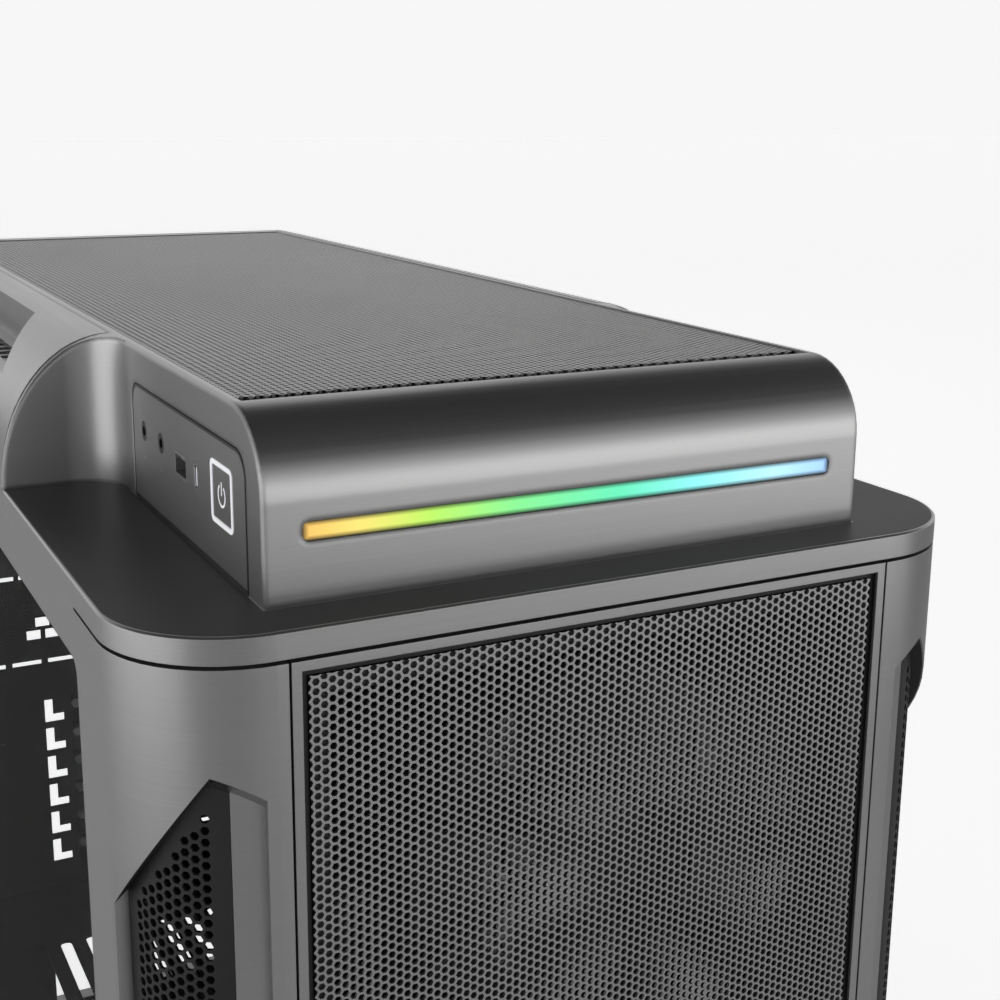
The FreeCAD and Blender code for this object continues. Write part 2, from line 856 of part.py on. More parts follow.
def door_hinges():
    # Metal corner blocks that fill the cut corners of the glass and carry the pivot pins
    y1 = hinge_y + hinge_glass_tail
    y0 = y1 - hinge_block[0]
    z0 = opening_z0 + door_gap
    z1 = opening_z1 - door_gap
    x1 = glass_x1 + hinge_clamp[0]
    blocks = []
    for base, end, edge in ((z0, z0 + hinge_block[1], opening_z0), (z1 - hinge_block[1], z1, opening_z1)):
        block = box(glass_x0, x1, y0, y1, base, end)
        clamp = box(glass_x1, x1, y0 - hinge_clamp[1], y1, base, end)
        start = edge - hinge_pin_length if edge == opening_z0 else end
        pin = rod(hinge_pin_radius, hinge_pin_length + door_gap, (hinge_x, hinge_y, start), (0, 0, 1))
        blocks.append(join([block, clamp, pin]))
    return Part.makeCompound(blocks)


def front_panel_frame():
    h = panel_half
    z0 = base_top + panel_gap
    z1 = pillar_top
    body = box(-h, h, front_y, front_y + panel_depth, z0, z1)
    b = panel_border
    body = body.cut(box(-h + b, h - b, front_y - 1, front_y + panel_lip, z0 + b, z1 - b))
    m = panel_border - panel_seat
    back = front_y + panel_lip + mesh_thickness
    body = body.cut(box(-h + m, h - m, front_y + panel_lip, back, z0 + m, z1 - m))
    c = panel_back
    return body.cut(box(-h + c, h - c, back, front_y + panel_depth + 1, z0 + c, z1 - c))


def front_mesh():
    inset = panel_border - panel_seat + mesh_slack
    h = panel_half - inset
    z0 = base_top + panel_gap + inset
    z1 = pillar_top - inset
    y0 = front_y + panel_lip
    plate = box(-h, h, y0, y0 + mesh_thickness, z0, z1)
    size = (2 * (h - mesh_margin), z1 - z0 - 2 * mesh_margin)
    centre = (0, (z0 + z1) / 2)
    return plate.cut(hex_field(size, front_mesh_cells, "y", y0 - 1, mesh_thickness + 2, centre))


def panel_clips():
    y0 = front_y + panel_depth
    x = panel_half - panel_back / 2
    low = base_top + panel_gap + clip_margin
    high = pillar_top - clip_margin
    spots = [(s * x, y0, z) for s in (-1, 1) for z in (low, (low + high) / 2, high)]
    return Part.makeCompound([rod(clip_radius, bracket_y - y0, spot, (0, 1, 0)) for spot in spots])


def fan_frame(size, holes, hub):
    # Square fan body standing on the plane Y = 0 and reaching towards +Y
    r = size / 2 - fan_rim
    body = rounded_y(size, size, fan_corner, (0, 0), 0, fan_depth)
    body = body.cut(rod(r, fan_depth + 2, (0, -1, 0), (0, 1, 0)))
    waist = box(-size, size, fan_flange, fan_depth - fan_flange, -size, size)
    body = body.cut(waist.cut(rod(r + fan_barrel, fan_depth, (0, 0, 0), (0, 1, 0))))
    width, thick = fan_arm
    start = fan_depth - thick
    cup = rod(hub + hub_cup, thick, (0, start, 0), (0, 1, 0))
    arms = []
    for i in range(4):
        arm = box(hub, r + fan_barrel / 2, start, fan_depth, -width / 2, width / 2)
        arm.rotate(Vector(0, 0, 0), Vector(0, 1, 0), 45 + 90 * i)
        arms.append(arm)
    body = join([body, cup] + arms)
    for x, z in hole_square(holes):
        body = body.cut(rod(fan_hole_radius, fan_depth + 2, (x, -1, z), (0, 1, 0)))
    return body


def fan_rotor(size, hub):
    r = size / 2 - fan_rim - fan_tip_gap
    y1 = fan_depth - fan_arm[1] - hub_gap
    body = rod(hub, y1 - hub_cup, (0, hub_cup, 0), (0, 1, 0))
    limit = rod(r, fan_depth, (0, 0, 0), (0, 1, 0))
    t = blade_thickness / 2
    blades = []
    for i in range(fan_blades):
        rings = []
        for x, pitch in zip((hub - hub_cup, r + hub_cup), blade_pitch):
            half = blade_span / 2 / math.sin(math.radians(pitch))
            ring = polygon([(x, -half, -t), (x, half, -t), (x, half, t), (x, -half, t)])
            ring.rotate(Vector(x, 0, 0), Vector(1, 0, 0), 90 - pitch)
            ring.translate(Vector(0, (hub_cup + y1) / 2, 0))
            rings.append(ring)
        blade = Part.makeLoft(rings, True, True).common(limit)
        blade.rotate(Vector(0, 0, 0), Vector(0, 1, 0), 360 * i / fan_blades)
        blades.append(blade)
    return body.fuse(blades)


def front_fan_height(index):
    return front_fan_top - front_fan_size * (index + 0.5)


def placed(shape, x, y, z):
    copy = shape.copy()
    copy.translate(Vector(x, y, z))
    return copy


def turned(shape):
    copy = shape.copy()
    copy.rotate(Vector(0, 0, 0), Vector(0, 0, 1), 180)
    return copy


def front_bracket():
    x = panel_half + panel_gap + bracket_seat
    body = box(-x, x, bracket_y, bracket_y + sheet, pan_top, deck_under)
    y0 = bracket_y - 1
    y1 = bracket_y + sheet + 1
    holes = []
    for i in range(front_fan_count):
        z = front_fan_height(i)
        holes.append(rod(front_fan_size / 2 - fan_rim, y1 - y0, (0, y0, z), (0, 1, 0)))
        for sx, sz in hole_square(front_fan_holes):
            holes.append(rod(fan_hole_radius, y1 - y0, (sx, y0, z + sz), (0, 1, 0)))
    for i in range(int((front_fan_top - pan_top) // bracket_slot_pitch)):
        z = pan_top + bracket_slot_pitch * (i + 0.7)
        for side in (-1, 1):
            holes.append(rounded_y(*bracket_slot, 5, (side * (x - bracket_slot_inset), z), y0, y1))
    return body.cut(holes)


def top_bracket():
    body = box(-inner_x, inner_x, notch_y + shell_wall, rear_y - shell_wall, top_z, top_z + sheet)
    z0 = top_z - 1
    z1 = top_z + sheet + 1
    holes = []
    for i in range(top_fan_count):
        y = notch_y + top_fan_first + top_fan_pitch * i
        holes.append(rod(rear_fan_size / 2 - fan_rim, z1 - z0, (0, y, z0), (0, 0, 1)))
        for sx, sy in hole_square(rear_fan_holes):
            holes.append(rounded_z(*top_fan_slot, fan_hole_radius, (sx, y + sy), z0, z1))
    for i in range(int((rear_y - notch_y - top_slot_first) // top_slot_pitch)):
        y = notch_y + top_slot_first + top_slot_pitch * i
        for side in (-1, 1):
            holes.append(rounded_z(*top_slot, 6, (side * (inner_x - top_slot_inset), y), z0, z1))
    return body.cut(holes)


def port_panel():
    x0 = -spine_half
    x1 = -spine_half + shell_wall
    f = 2 * port_fit
    cuts = []
    for place, size, corner in (
        (button_place, button_size, button_corner),
        (usb_c_place, usb_c_size, usb_c_size[0] / 2),
        (usb_a_place, usb_a_size, usb_corner),
    ):
        cuts.append(rounded_x(size[0] + f, size[1] + f, corner + port_fit, port_spot(place), x0 - 1, x1 + 1))
    for place in jack_places:
        y, z = port_spot((place, jack_rise))
        cuts.append(rod(jack_radius + port_fit, shell_wall + 2, (x0 - 1, y, z), (1, 0, 0)))
    return port_block(panel_gap, x0, x1).cut(cuts)


def power_ring():
    spot = port_spot(button_place)
    w, h = button_size
    x0 = -spine_half - ring_proud
    x1 = -spine_half + shell_wall
    t = ring_width
    hole = rounded_x(w - 2 * t, h - 2 * t, button_corner - t, spot, x0 - 1, x1 + 1)
    return rounded_x(w, h, button_corner, spot, x0, x1).cut(hole)


def power_button():
    t = ring_width + button_gap
    w = button_size[0] - 2 * t
    h = button_size[1] - 2 * t
    x1 = -spine_half + button_depth
    return rounded_x(w, h, button_corner - t, port_spot(button_place), -spine_half, x1)


def usb_port(place, size, corner, mouth, mouth_corner, tongue, tongue_rise):
    # Metal mouth with an inner tongue, seated on the port board
    spot = port_spot(place)
    x0 = -spine_half
    x1 = x0 + board_depth
    body = rounded_x(*size, corner, spot, x0, x1)
    body = body.cut(rounded_x(*mouth, mouth_corner, spot, x0 - 1, x1 - usb_back))
    middle = (spot[0], spot[1] + tongue_rise)
    return body.fuse(rounded_x(*tongue, 0.3, middle, x0 + usb_back, x1 - usb_back / 2))


def usb_c_port():
    corners = (usb_c_size[0] / 2, usb_c_mouth[0] / 2)
    return usb_port(usb_c_place, usb_c_size, corners[0], usb_c_mouth, corners[1], usb_c_tongue, 0)


def usb_a_port():
    tongue = (usb_a_mouth[0] - 1.2, usb_a_tongue)
    rise = (usb_a_mouth[1] - tongue[1]) / 2 - 0.3
    return usb_port(usb_a_place, usb_a_size, usb_corner, usb_a_mouth, 0.6, tongue, rise)


def sound_jack(place):
    spot = (-spine_half,) + port_spot((place, jack_rise))
    body = rod(jack_radius, board_depth, spot, (1, 0, 0))
    return body.cut(rod(jack_bore, jack_depth, spot, (1, 0, 0)))


def port_board():
    x0 = -spine_half + board_depth
    y0 = spine_y + port_front + board_margin[0]
    y1 = spine_y + port_rear - board_margin[0]
    z0 = deck_z + board_margin[1]
    board = box(x0, x0 + board_thickness, y0, y1, z0, deck_z + port_height - board_margin[1])
    reach = board_depth - button_depth - button_travel - button_gap
    return board.fuse(rounded_x(switch_size, switch_size, 1, port_spot(button_place), x0 - reach, x0))


def base_rim():
    body = plan(foot_height, base_top)
    body = body.makeChamfer(base_bevel, level_edges(body, foot_height))
    x = half_width - base_bar
    body = body.cut(box(-x, x, front_y + base_bar, rear_y - base_bar, foot_height - 1, base_top + 1))
    w = filter_width / 2 + filter_gap
    z0 = filter_z - filter_gap
    z1 = filter_z + filter_thickness + filter_gap
    body = body.cut(box(-w, w, rear_y - base_bar - 1, rear_y + 1, z0, z1))
    w = grip_size[0] / 2
    return body.cut(box(-w, w, rear_y - grip_size[1], rear_y + 1, foot_height - 1, base_top - grip_roof))


def base_pan():
    # Floor sheet that follows the inner faces of the pillars
    body = plan(base_top, pan_top, frame_wall)
    body = body.common(box(-inner_x, inner_x, bracket_y, rear_face, base_top, pan_top))
    holes = []
    for i in range(pan_slot_count):
        y = rear_face - pan_slot_first + pan_slot_pitch * i
        holes.append(rounded_z(*pan_slot, 4, (0, y), base_top - 1, pan_top + 1))
    return body.cut(holes)


def bottom_filter():
    y1 = rear_y - filter_inset
    y0 = y1 - filter_length
    w = filter_width / 2
    z1 = filter_z + filter_thickness
    body = box(-w, w, y0, y1, filter_z, z1)
    width = filter_width - 2 * filter_bar
    holes = []
    for i in range(int((filter_length - base_bar - filter_bar) // filter_pitch)):
        y = y0 + filter_bar + filter_pitch * (i + 0.5)
        holes.append(rounded_z(width, filter_window, 3, (0, y), filter_z - 1, z1 + 1))
    half = filter_pull[0] / 2
    t = filter_pull[1]
    lip = box(-half, half, y1 - t, y1, filter_z - t, z1 + t)
    return body.cut(holes).fuse(lip)


def filter_rails():
    y1 = rear_y - base_bar
    y0 = rear_y - filter_inset - filter_length + rail_shelf
    w = filter_width / 2 + filter_gap
    z1 = filter_z - filter_gap
    z0 = z1 - rail_wall
    rail = box(w, w + rail_wall, y0, y1, z0, base_top).fuse(box(w - rail_shelf, w, y0, y1, z0, z1))
    return Part.makeCompound([rail, mirrored(rail)])


def foot_spots():
    x = half_width - foot_inset[0]
    y = rear_y - foot_inset[1]
    return {"front_left": (-x, -y), "front_right": (x, -y), "rear_left": (-x, y), "rear_right": (x, y)}


def foot(spot):
    body = rounded_z(*foot_size, foot_corner, spot, pad_height, foot_height)
    return body.makeChamfer(foot_bevel, level_edges(body, pad_height))


def foot_pads():
    size = [s - 2 * pad_margin for s in foot_size]
    spots = foot_spots().values()
    corner = foot_corner - foot_bevel
    return Part.makeCompound([rounded_z(*size, corner, spot, 0, pad_height) for spot in spots])


def slot_heights():
    return [slot_first - slot_pitch * i for i in range(slot_count)]


def notch_cut(z):
    # L-shaped opening beside a slot
    x0 = slot_x0 - hook_setback
    z0 = z - hook_size[1] / 2
    upright = box(x0, x0 + hook_width, rear_inner - 1, rear_face + 1, z0, z0 + hook_size[1])
    return upright.fuse(box(x0, x0 + hook_size[0], rear_inner - 1, rear_face + 1, z0, z0 + hook_width))


def cover_screw_spots():
    spots = [(slot_x0 - cover_screw[0], z + cover_screw[1]) for z in slot_heights()]
    return spots + [(x, upright_z1 + upright_screw) for x in upright_slots]


def rear_panel():
    body = box(-inner_x, inner_x, rear_inner, rear_face, pan_top, top_z)
    y0 = rear_inner - 1
    y1 = rear_face + 1
    x1 = tray_x - io_edge
    z1 = board_top - io_edge
    h = slot_height / 2
    cuts = [box(x1 - io_cutout[0], x1, y0, y1, z1 - io_cutout[1], z1)]
    for z in slot_heights():
        cuts.append(box(slot_x0, slot_x1, y0, y1, z - h, z + h))
        cuts.append(notch_cut(z))
    for x in upright_slots:
        cuts.append(box(x - h, x + h, y0, y1, upright_z0, upright_z1))
    for x, z in cover_screw_spots():
        cuts.append(rod(screw_radius + screw_fit, y1 - y0, (x, y0, z), (0, 1, 0)))
    cuts.append(rounded_y(*psu_cutout, 3, (0, pan_top + psu_rise + psu_cutout[1] / 2), y0, y1))
    cuts += wall_slits(y0, y1) + fan_grille(y0, y1)
    x = (tray_x + sheet + inner_x) / 2
    for i in range(int((top_z - shroud_height - vent_clear) // vent_pitch)):
        cuts.append(rounded_y(*vent_size, 3, (x, shroud_height + vent_rise + vent_pitch * i), y0, y1))
    return body.cut(cuts)


def wall_slits(y0, y1):
    # Slits and small windows of the rear wall that show through the open side
    cuts = []
    z = board_top - slit_place[1]
    for i in range(3):
        x = -half_width + slit_place[0] + slit_pitch * i
        cuts.append(box(x, x + slit_size[0], y0, y1, z, z + slit_size[1]))
    w, h = small_window
    for side, drop in small_window_spots:
        x = -half_width + side
        z = board_top - drop
        cuts.append(box(x - w / 2, x + w / 2, y0, y1, z - h / 2, z + h / 2))
    return cuts


def fan_grille(y0, y1):
    # Ring slots and screw holes in front of the rear fan
    cx, cz = rear_fan_place
    a = rear_fan_size / 2
    b = grille_bar / 2
    bars = [box(cx - a, cx + a, y0, y1, cz - b, cz + b), box(cx - b, cx + b, y0, y1, cz - a, cz + a)]
    cuts = []
    for inner, outer in grille_rings:
        ring = rod(outer, y1 - y0, (cx, y0, cz), (0, 1, 0)).cut(rod(inner, y1 - y0, (cx, y0, cz), (0, 1, 0)))
        cuts.append(ring.cut(bars))
    for sx, sz in hole_square(rear_fan_holes):
        cuts.append(rod(fan_hole_radius, y1 - y0, (cx + sx, y0, cz + sz), (0, 1, 0)))
    return cuts


def slot_covers():
    m = cover_margin
    h = slot_height / 2 + m
    y0 = rear_inner - cover_thickness
    covers = []
    for z in slot_heights():
        plate = box(slot_x0 - cover_ear[0], slot_x1 + m, y0, rear_inner, z - h, z + h)
        for i in range(int(slot_length // cover_slit_pitch) - 1):
            x = slot_x0 + cover_slit_pitch * (i + 1) - m
            low = z - cover_slit[1] / 2
            slit = box(x, x + cover_slit[0], y0 - 1, rear_inner + 1, low, low + cover_slit[1])
            plate = plate.cut(slit)
        covers.append(plate)
    for x in upright_slots:
        covers.append(box(x - h, x + h, y0, rear_inner, upright_z0 - m, upright_z1 + cover_ear[1]))
    done = []
    for plate, (x, z) in zip(covers, cover_screw_spots()):
        hole = rod(screw_radius + screw_fit, cover_thickness + 2, (x, y0 - 1, z), (0, 1, 0))
        done.append(plate.cut(hole))
    return Part.makeCompound(done)


def slot_screws():
    y0 = rear_inner - cover_thickness
    top = y0 - screw_head[1]
    w = screw_slot[0] / 2
    h = screw_slot[1] / 2
    screws = []
    for x, z in cover_screw_spots():
        head = rod(screw_head[0], screw_head[1], (x, top, z), (0, 1, 0))
        shank = rod(screw_radius, cover_thickness + sheet, (x, y0, z), (0, 1, 0))
        screws.append(head.fuse(shank).cut(box(x - w, x + w, top - 1, top + 2 * w, z - h, z + h)))
    return Part.makeCompound(screws)


def standoff_spots():
    # Board holes, as far as they lie above the shroud
    y = rear_inner - standoff_rear - standoff_edge
    z = board_top - standoff_edge
    rows = [z - b for b in standoff_rows if z - b > shroud_height + 2 * standoff_radius]
    return [(y - a, row) for a in standoff_columns for row in rows]


def standoffs():
    x = tray_x - standoff_height
    posts = []
    for y, z in standoff_spots():
        post = rod(standoff_radius, standoff_height, (x, y, z), (1, 0, 0))
        posts.append(post.cut(rod(standoff_bore, standoff_bore_depth, (x, y, z), (1, 0, 0))))
    return Part.makeCompound(posts)


def grommet_spots():
    y = front_y + tray_front + grommet_setback
    count = int((top_z - shroud_height - grommet_clear) // grommet_pitch)
    return [(y, shroud_height + grommet_rise + grommet_pitch * i) for i in range(count)]


def motherboard_tray():
    body = box(tray_x, tray_x + sheet, front_y + tray_front, rear_inner, shroud_height, top_z)
    x0 = tray_x - 1
    x1 = tray_x + sheet + 1
    cuts = [rounded_x(*cooler_cut, 8, (rear_inner - cooler_place[0], board_top - cooler_place[1]), x0, x1)]
    for spot in grommet_spots():
        cuts.append(rounded_x(*grommet_size, grommet_corner, spot, x0, x1))
    for i in range(tray_slot_count):
        y = rear_inner - tray_slot_first + tray_slot_pitch * i
        for z in (board_top + tray_slot[1] / 2, shroud_height + tray_slot[1]):
            cuts.append(rounded_x(*tray_slot, 4, (y, z), x0, x1))
    return body.cut(cuts)


def cable_grommets():
    x1 = tray_x + sheet
    f = 2 * grommet_fit
    size = [s - f for s in grommet_size]
    lip = [s + 2 * grommet_lip for s in grommet_size]
    hole = [s - 2 * w for s, w in zip(grommet_size, grommet_wall)]
    rings = []
    for spot in grommet_spots():
        ring = rounded_x(*size, grommet_corner - grommet_fit, spot, tray_x, x1)
        flange = rounded_x(*lip, grommet_corner + grommet_lip, spot, x1, x1 + grommet_flange)
        cut = rounded_x(*hole, grommet_corner - grommet_lip, spot, tray_x - 1, x1 + grommet_flange + 1)
        rings.append(ring.fuse(flange).cut(cut))
    return Part.makeCompound(rings)


def drive_brackets():
    x0 = tray_x + sheet
    x1 = x0 + drive_depth
    inside = [s - 2 * drive_wall for s in drive_size]
    y = front_y + tray_front + drive_setback
    made = []
    for i in range(drive_count):
        spot = (y, shroud_height + drive_rise + drive_pitch * i)
        tray = rounded_x(*drive_size, 4, spot, x0, x1)
        tray = tray.cut(rounded_x(*inside, 3, spot, x0 + drive_wall, x1 + 1))
        made.append(tray.cut(rounded_x(*drive_window, 6, spot, x0 - 1, x1)))
    return Part.makeCompound(made)


def psu_shroud():
    x0 = -inner_x + shroud_side
    y0 = front_y + shroud_front
    z0 = shroud_height - sheet
    top = box(x0, tray_x + sheet, y0, rear_inner, z0, shroud_height)
    body = top.fuse(box(x0, x0 + sheet, y0, rear_inner, pan_top, z0))
    holes = []
    for i in range(shroud_slot_count):
        x = x0 + shroud_slot_place[0] + shroud_slot_pitch * i
        spot = (x, rear_inner - shroud_slot_place[1])
        holes.append(rounded_z(*shroud_slot, 3, spot, z0 - 1, shroud_height + 1))
    spot = (x0 + shroud_window_place[0], y0 + shroud_window_place[1])
    holes.append(rounded_z(*shroud_window, 6, spot, z0 - 1, shroud_height + 1))
    return body.cut(holes)


def save(name, shape):
    shape.exportStep("parts/" + name + ".step")


def build():
    os.makedirs("parts", exist_ok=True)
    left = {
        "side_frame": side_frame(),
        "pillar_mesh": pillar_mesh(),
        "shoulder_grille": shoulder_grille(),
        "door_glass": door_glass(),
        "door_hinges": door_hinges(),
    }
    for name, shape in left.items():
        save("left_" + name, shape)
        save("right_" + name, mirrored(shape))
    single = (
        spine_shell, top_mesh, light_bar, light_strip, top_deck, deck_inlay, door_magnets,
        front_panel_frame, front_mesh, panel_clips, front_bracket, top_bracket,
        port_panel, power_ring, power_button, usb_c_port, usb_a_port, port_board,
        base_rim, base_pan, bottom_filter, filter_rails, foot_pads,
        rear_panel, slot_covers, slot_screws, standoffs, motherboard_tray,
        cable_grommets, drive_brackets, psu_shroud,
    )
    for make in single:
        save(make.__name__, make())
    for name, place in zip(("sound_jack_front", "sound_jack_rear"), jack_places):
        save(name, sound_jack(place))
    for name, spot in foot_spots().items():
        save("foot_" + name, foot(spot))
    frame = fan_frame(front_fan_size, front_fan_holes, front_hub)
    rotor = fan_rotor(front_fan_size, front_hub)
    for i in range(front_fan_count):
        z = front_fan_height(i)
        save("front_fan_frame_%d" % (i + 1), placed(frame, 0, bracket_y + sheet, z))
        save("front_fan_rotor_%d" % (i + 1), placed(rotor, 0, bracket_y + sheet, z))
    x, z = rear_fan_place
    frame = turned(fan_frame(rear_fan_size, rear_fan_holes, rear_hub))
    save("rear_fan_frame", placed(frame, x, rear_inner, z))
    save("rear_fan_rotor", placed(turned(fan_rotor(rear_fan_size, rear_hub)), x, rear_inner, z))


build()
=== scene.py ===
import json
import math
import bpy
from mathutils import Matrix, Vector


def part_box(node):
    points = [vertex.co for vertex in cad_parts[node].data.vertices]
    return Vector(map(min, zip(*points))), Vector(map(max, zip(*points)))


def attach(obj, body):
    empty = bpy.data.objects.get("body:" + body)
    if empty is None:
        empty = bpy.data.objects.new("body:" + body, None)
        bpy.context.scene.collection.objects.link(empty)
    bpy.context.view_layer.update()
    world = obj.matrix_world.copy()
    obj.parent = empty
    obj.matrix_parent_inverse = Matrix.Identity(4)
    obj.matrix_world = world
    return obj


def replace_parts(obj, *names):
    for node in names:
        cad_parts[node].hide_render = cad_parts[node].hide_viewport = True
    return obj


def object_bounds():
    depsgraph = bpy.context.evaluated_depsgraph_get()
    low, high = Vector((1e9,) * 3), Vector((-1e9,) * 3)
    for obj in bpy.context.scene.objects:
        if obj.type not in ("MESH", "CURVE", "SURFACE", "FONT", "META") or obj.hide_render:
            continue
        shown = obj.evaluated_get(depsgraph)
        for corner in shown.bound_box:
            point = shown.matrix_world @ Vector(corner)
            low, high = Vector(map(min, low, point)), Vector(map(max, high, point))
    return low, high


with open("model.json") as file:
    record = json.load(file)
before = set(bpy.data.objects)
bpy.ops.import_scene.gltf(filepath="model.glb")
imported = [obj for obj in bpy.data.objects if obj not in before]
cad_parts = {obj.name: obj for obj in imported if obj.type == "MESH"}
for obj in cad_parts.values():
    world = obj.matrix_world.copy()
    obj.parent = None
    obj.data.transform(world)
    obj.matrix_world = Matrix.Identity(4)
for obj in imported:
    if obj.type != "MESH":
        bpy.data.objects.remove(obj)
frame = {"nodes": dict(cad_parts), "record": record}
cadLow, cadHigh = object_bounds()
nodes = frame["nodes"]
print("frame loaded:", len(nodes), "nodes")


def addNode(tree, kind, **values):
    node = tree.nodes.new(kind)
    for key, value in values.items():
        setattr(node, key, value)
    return node


def newGroup(name, inputs, outputs):
    group = bpy.data.node_groups.new(name, "ShaderNodeTree")
    for label, kind, value in inputs:
        socket = group.interface.new_socket(name=label, in_out="INPUT", socket_type=kind)
        socket.default_value = value
    for label, kind in outputs:
        group.interface.new_socket(name=label, in_out="OUTPUT", socket_type=kind)
    return group, addNode(group, "NodeGroupInput"), addNode(group, "NodeGroupOutput")


def placeGroup(tree, group, **values):
    node = addNode(tree, "ShaderNodeGroup", node_tree=group)
    for label, value in values.items():
        node.inputs[label].default_value = value
    return node


grainOutputs = [("Roughness", "NodeSocketFloat"), ("Height", "NodeSocketFloat"), ("Tone", "NodeSocketFloat")]
brushLook = {
    "stretch": (9.0, 9.0, 2600.0), "spread": 0.12, "base": 0.35, "detail": 3.0, "cloud": 7.0, "share": 0.75,
}


def makeBrushedGrain():  # long fine lines that run level round the shell
    look = brushLook
    group, gin, gout = newGroup("brushedGrain", [
        ("Stretch", "NodeSocketVector", look["stretch"]),
        ("Spread", "NodeSocketFloat", look["spread"]),
        ("Base", "NodeSocketFloat", look["base"]),
    ], grainOutputs)
    coords = addNode(group, "ShaderNodeTexCoord")
    scaled = addNode(group, "ShaderNodeVectorMath", operation="MULTIPLY")
    lines = addNode(group, "ShaderNodeTexNoise")
    lines.inputs["Scale"].default_value = 1.0
    lines.inputs["Detail"].default_value = look["detail"]
    cloud = addNode(group, "ShaderNodeTexNoise")
    cloud.inputs["Scale"].default_value = look["cloud"]
    both = addNode(group, "ShaderNodeMath", operation="MULTIPLY_ADD")
    both.inputs[1].default_value = look["share"]
    soft = addNode(group, "ShaderNodeMath", operation="MULTIPLY")
    soft.inputs[1].default_value = 1.0 - look["share"]
    rough = addNode(group, "ShaderNodeMath", operation="MULTIPLY_ADD")
    link = group.links.new
    link(coords.outputs["Object"], scaled.inputs[0])
    link(gin.outputs["Stretch"], scaled.inputs[1])
    link(scaled.outputs[0], lines.inputs["Vector"])
    link(coords.outputs["Object"], cloud.inputs["Vector"])
    link(cloud.outputs["Fac"], soft.inputs[0])
    link(lines.outputs["Fac"], both.inputs[0])
    link(soft.outputs[0], both.inputs[2])
    link(both.outputs[0], rough.inputs[0])
    link(gin.outputs["Spread"], rough.inputs[1])
    link(gin.outputs["Base"], rough.inputs[2])
    link(rough.outputs[0], gout.inputs["Roughness"])
    link(lines.outputs["Fac"], gout.inputs["Height"])
    link(both.outputs[0], gout.inputs["Tone"])
    return group


fineLook = {"scale": 1800.0, "spread": 0.1, "base": 0.45, "detail": 2.0, "cloud": 11.0}


def makeFineGrain():  # powder coat and moulded skin: small even grain
    look = fineLook
    group, gin, gout = newGroup("fineGrain", [
        ("Scale", "NodeSocketFloat", look["scale"]),
        ("Spread", "NodeSocketFloat", look["spread"]),
        ("Base", "NodeSocketFloat", look["base"]),
    ], grainOutputs)
    coords = addNode(group, "ShaderNodeTexCoord")
    grain = addNode(group, "ShaderNodeTexNoise")
    grain.inputs["Detail"].default_value = look["detail"]
    cloud = addNode(group, "ShaderNodeTexNoise")
    cloud.inputs["Scale"].default_value = look["cloud"]
    spread = addNode(group, "ShaderNodeMath", operation="MULTIPLY_ADD")
    link = group.links.new
    link(coords.outputs["Object"], grain.inputs["Vector"])
    link(gin.outputs["Scale"], grain.inputs["Scale"])
    link(coords.outputs["Object"], cloud.inputs["Vector"])
    link(cloud.outputs["Fac"], spread.inputs[0])
    link(gin.outputs["Spread"], spread.inputs[1])
    link(gin.outputs["Base"], spread.inputs[2])
    link(spread.outputs[0], gout.inputs["Roughness"])
    link(grain.outputs["Fac"], gout.inputs["Height"])
    link(cloud.outputs["Fac"], gout.inputs["Tone"])
    return group


brushedGrain = makeBrushedGrain()
fineGrain = makeFineGrain()


def newMaterial(name):
    material = bpy.data.materials.new(name)
    material.use_nodes = True
    tree = material.node_tree
    return material, tree, tree.nodes["Principled BSDF"]


finishLook = {"specular": 0.5, "distance": 0.0002, "edgeSamples": 4}  # where a look says nothing else


def finish(name, look):  # two close tones over the surface, grain in roughness and bump
    material, tree, shader = newMaterial(name)
    effect = placeGroup(tree, look["group"], **look["grain"])
    tone = addNode(tree, "ShaderNodeMix", data_type="RGBA")
    tone.inputs["A"].default_value = (*look["dark"], 1)
    tone.inputs["B"].default_value = (*look["light"], 1)
    link = tree.links.new
    link(effect.outputs["Tone"], tone.inputs["Factor"])
    link(tone.outputs["Result"], shader.inputs["Base Color"])
    link(effect.outputs["Roughness"], shader.inputs["Roughness"])
    shader.inputs["Metallic"].default_value = look.get("metallic", 0.0)
    shader.inputs["Specular IOR Level"].default_value = look.get("specular", finishLook["specular"])
    normal = shader.inputs["Normal"]
    if "bump" in look:
        relief = addNode(tree, "ShaderNodeBump")
        relief.inputs["Strength"].default_value = look["bump"]
        relief.inputs["Distance"].default_value = look.get("distance", finishLook["distance"])
        link(effect.outputs["Height"], relief.inputs["Height"])
        link(relief.outputs["Normal"], normal)
        normal = relief.inputs["Normal"]
    if "edge" in look:
        edge = addNode(tree, "ShaderNodeBevel", samples=finishLook["edgeSamples"])
        edge.inputs["Radius"].default_value = look["edge"]
        link(edge.outputs["Normal"], normal)
    return material


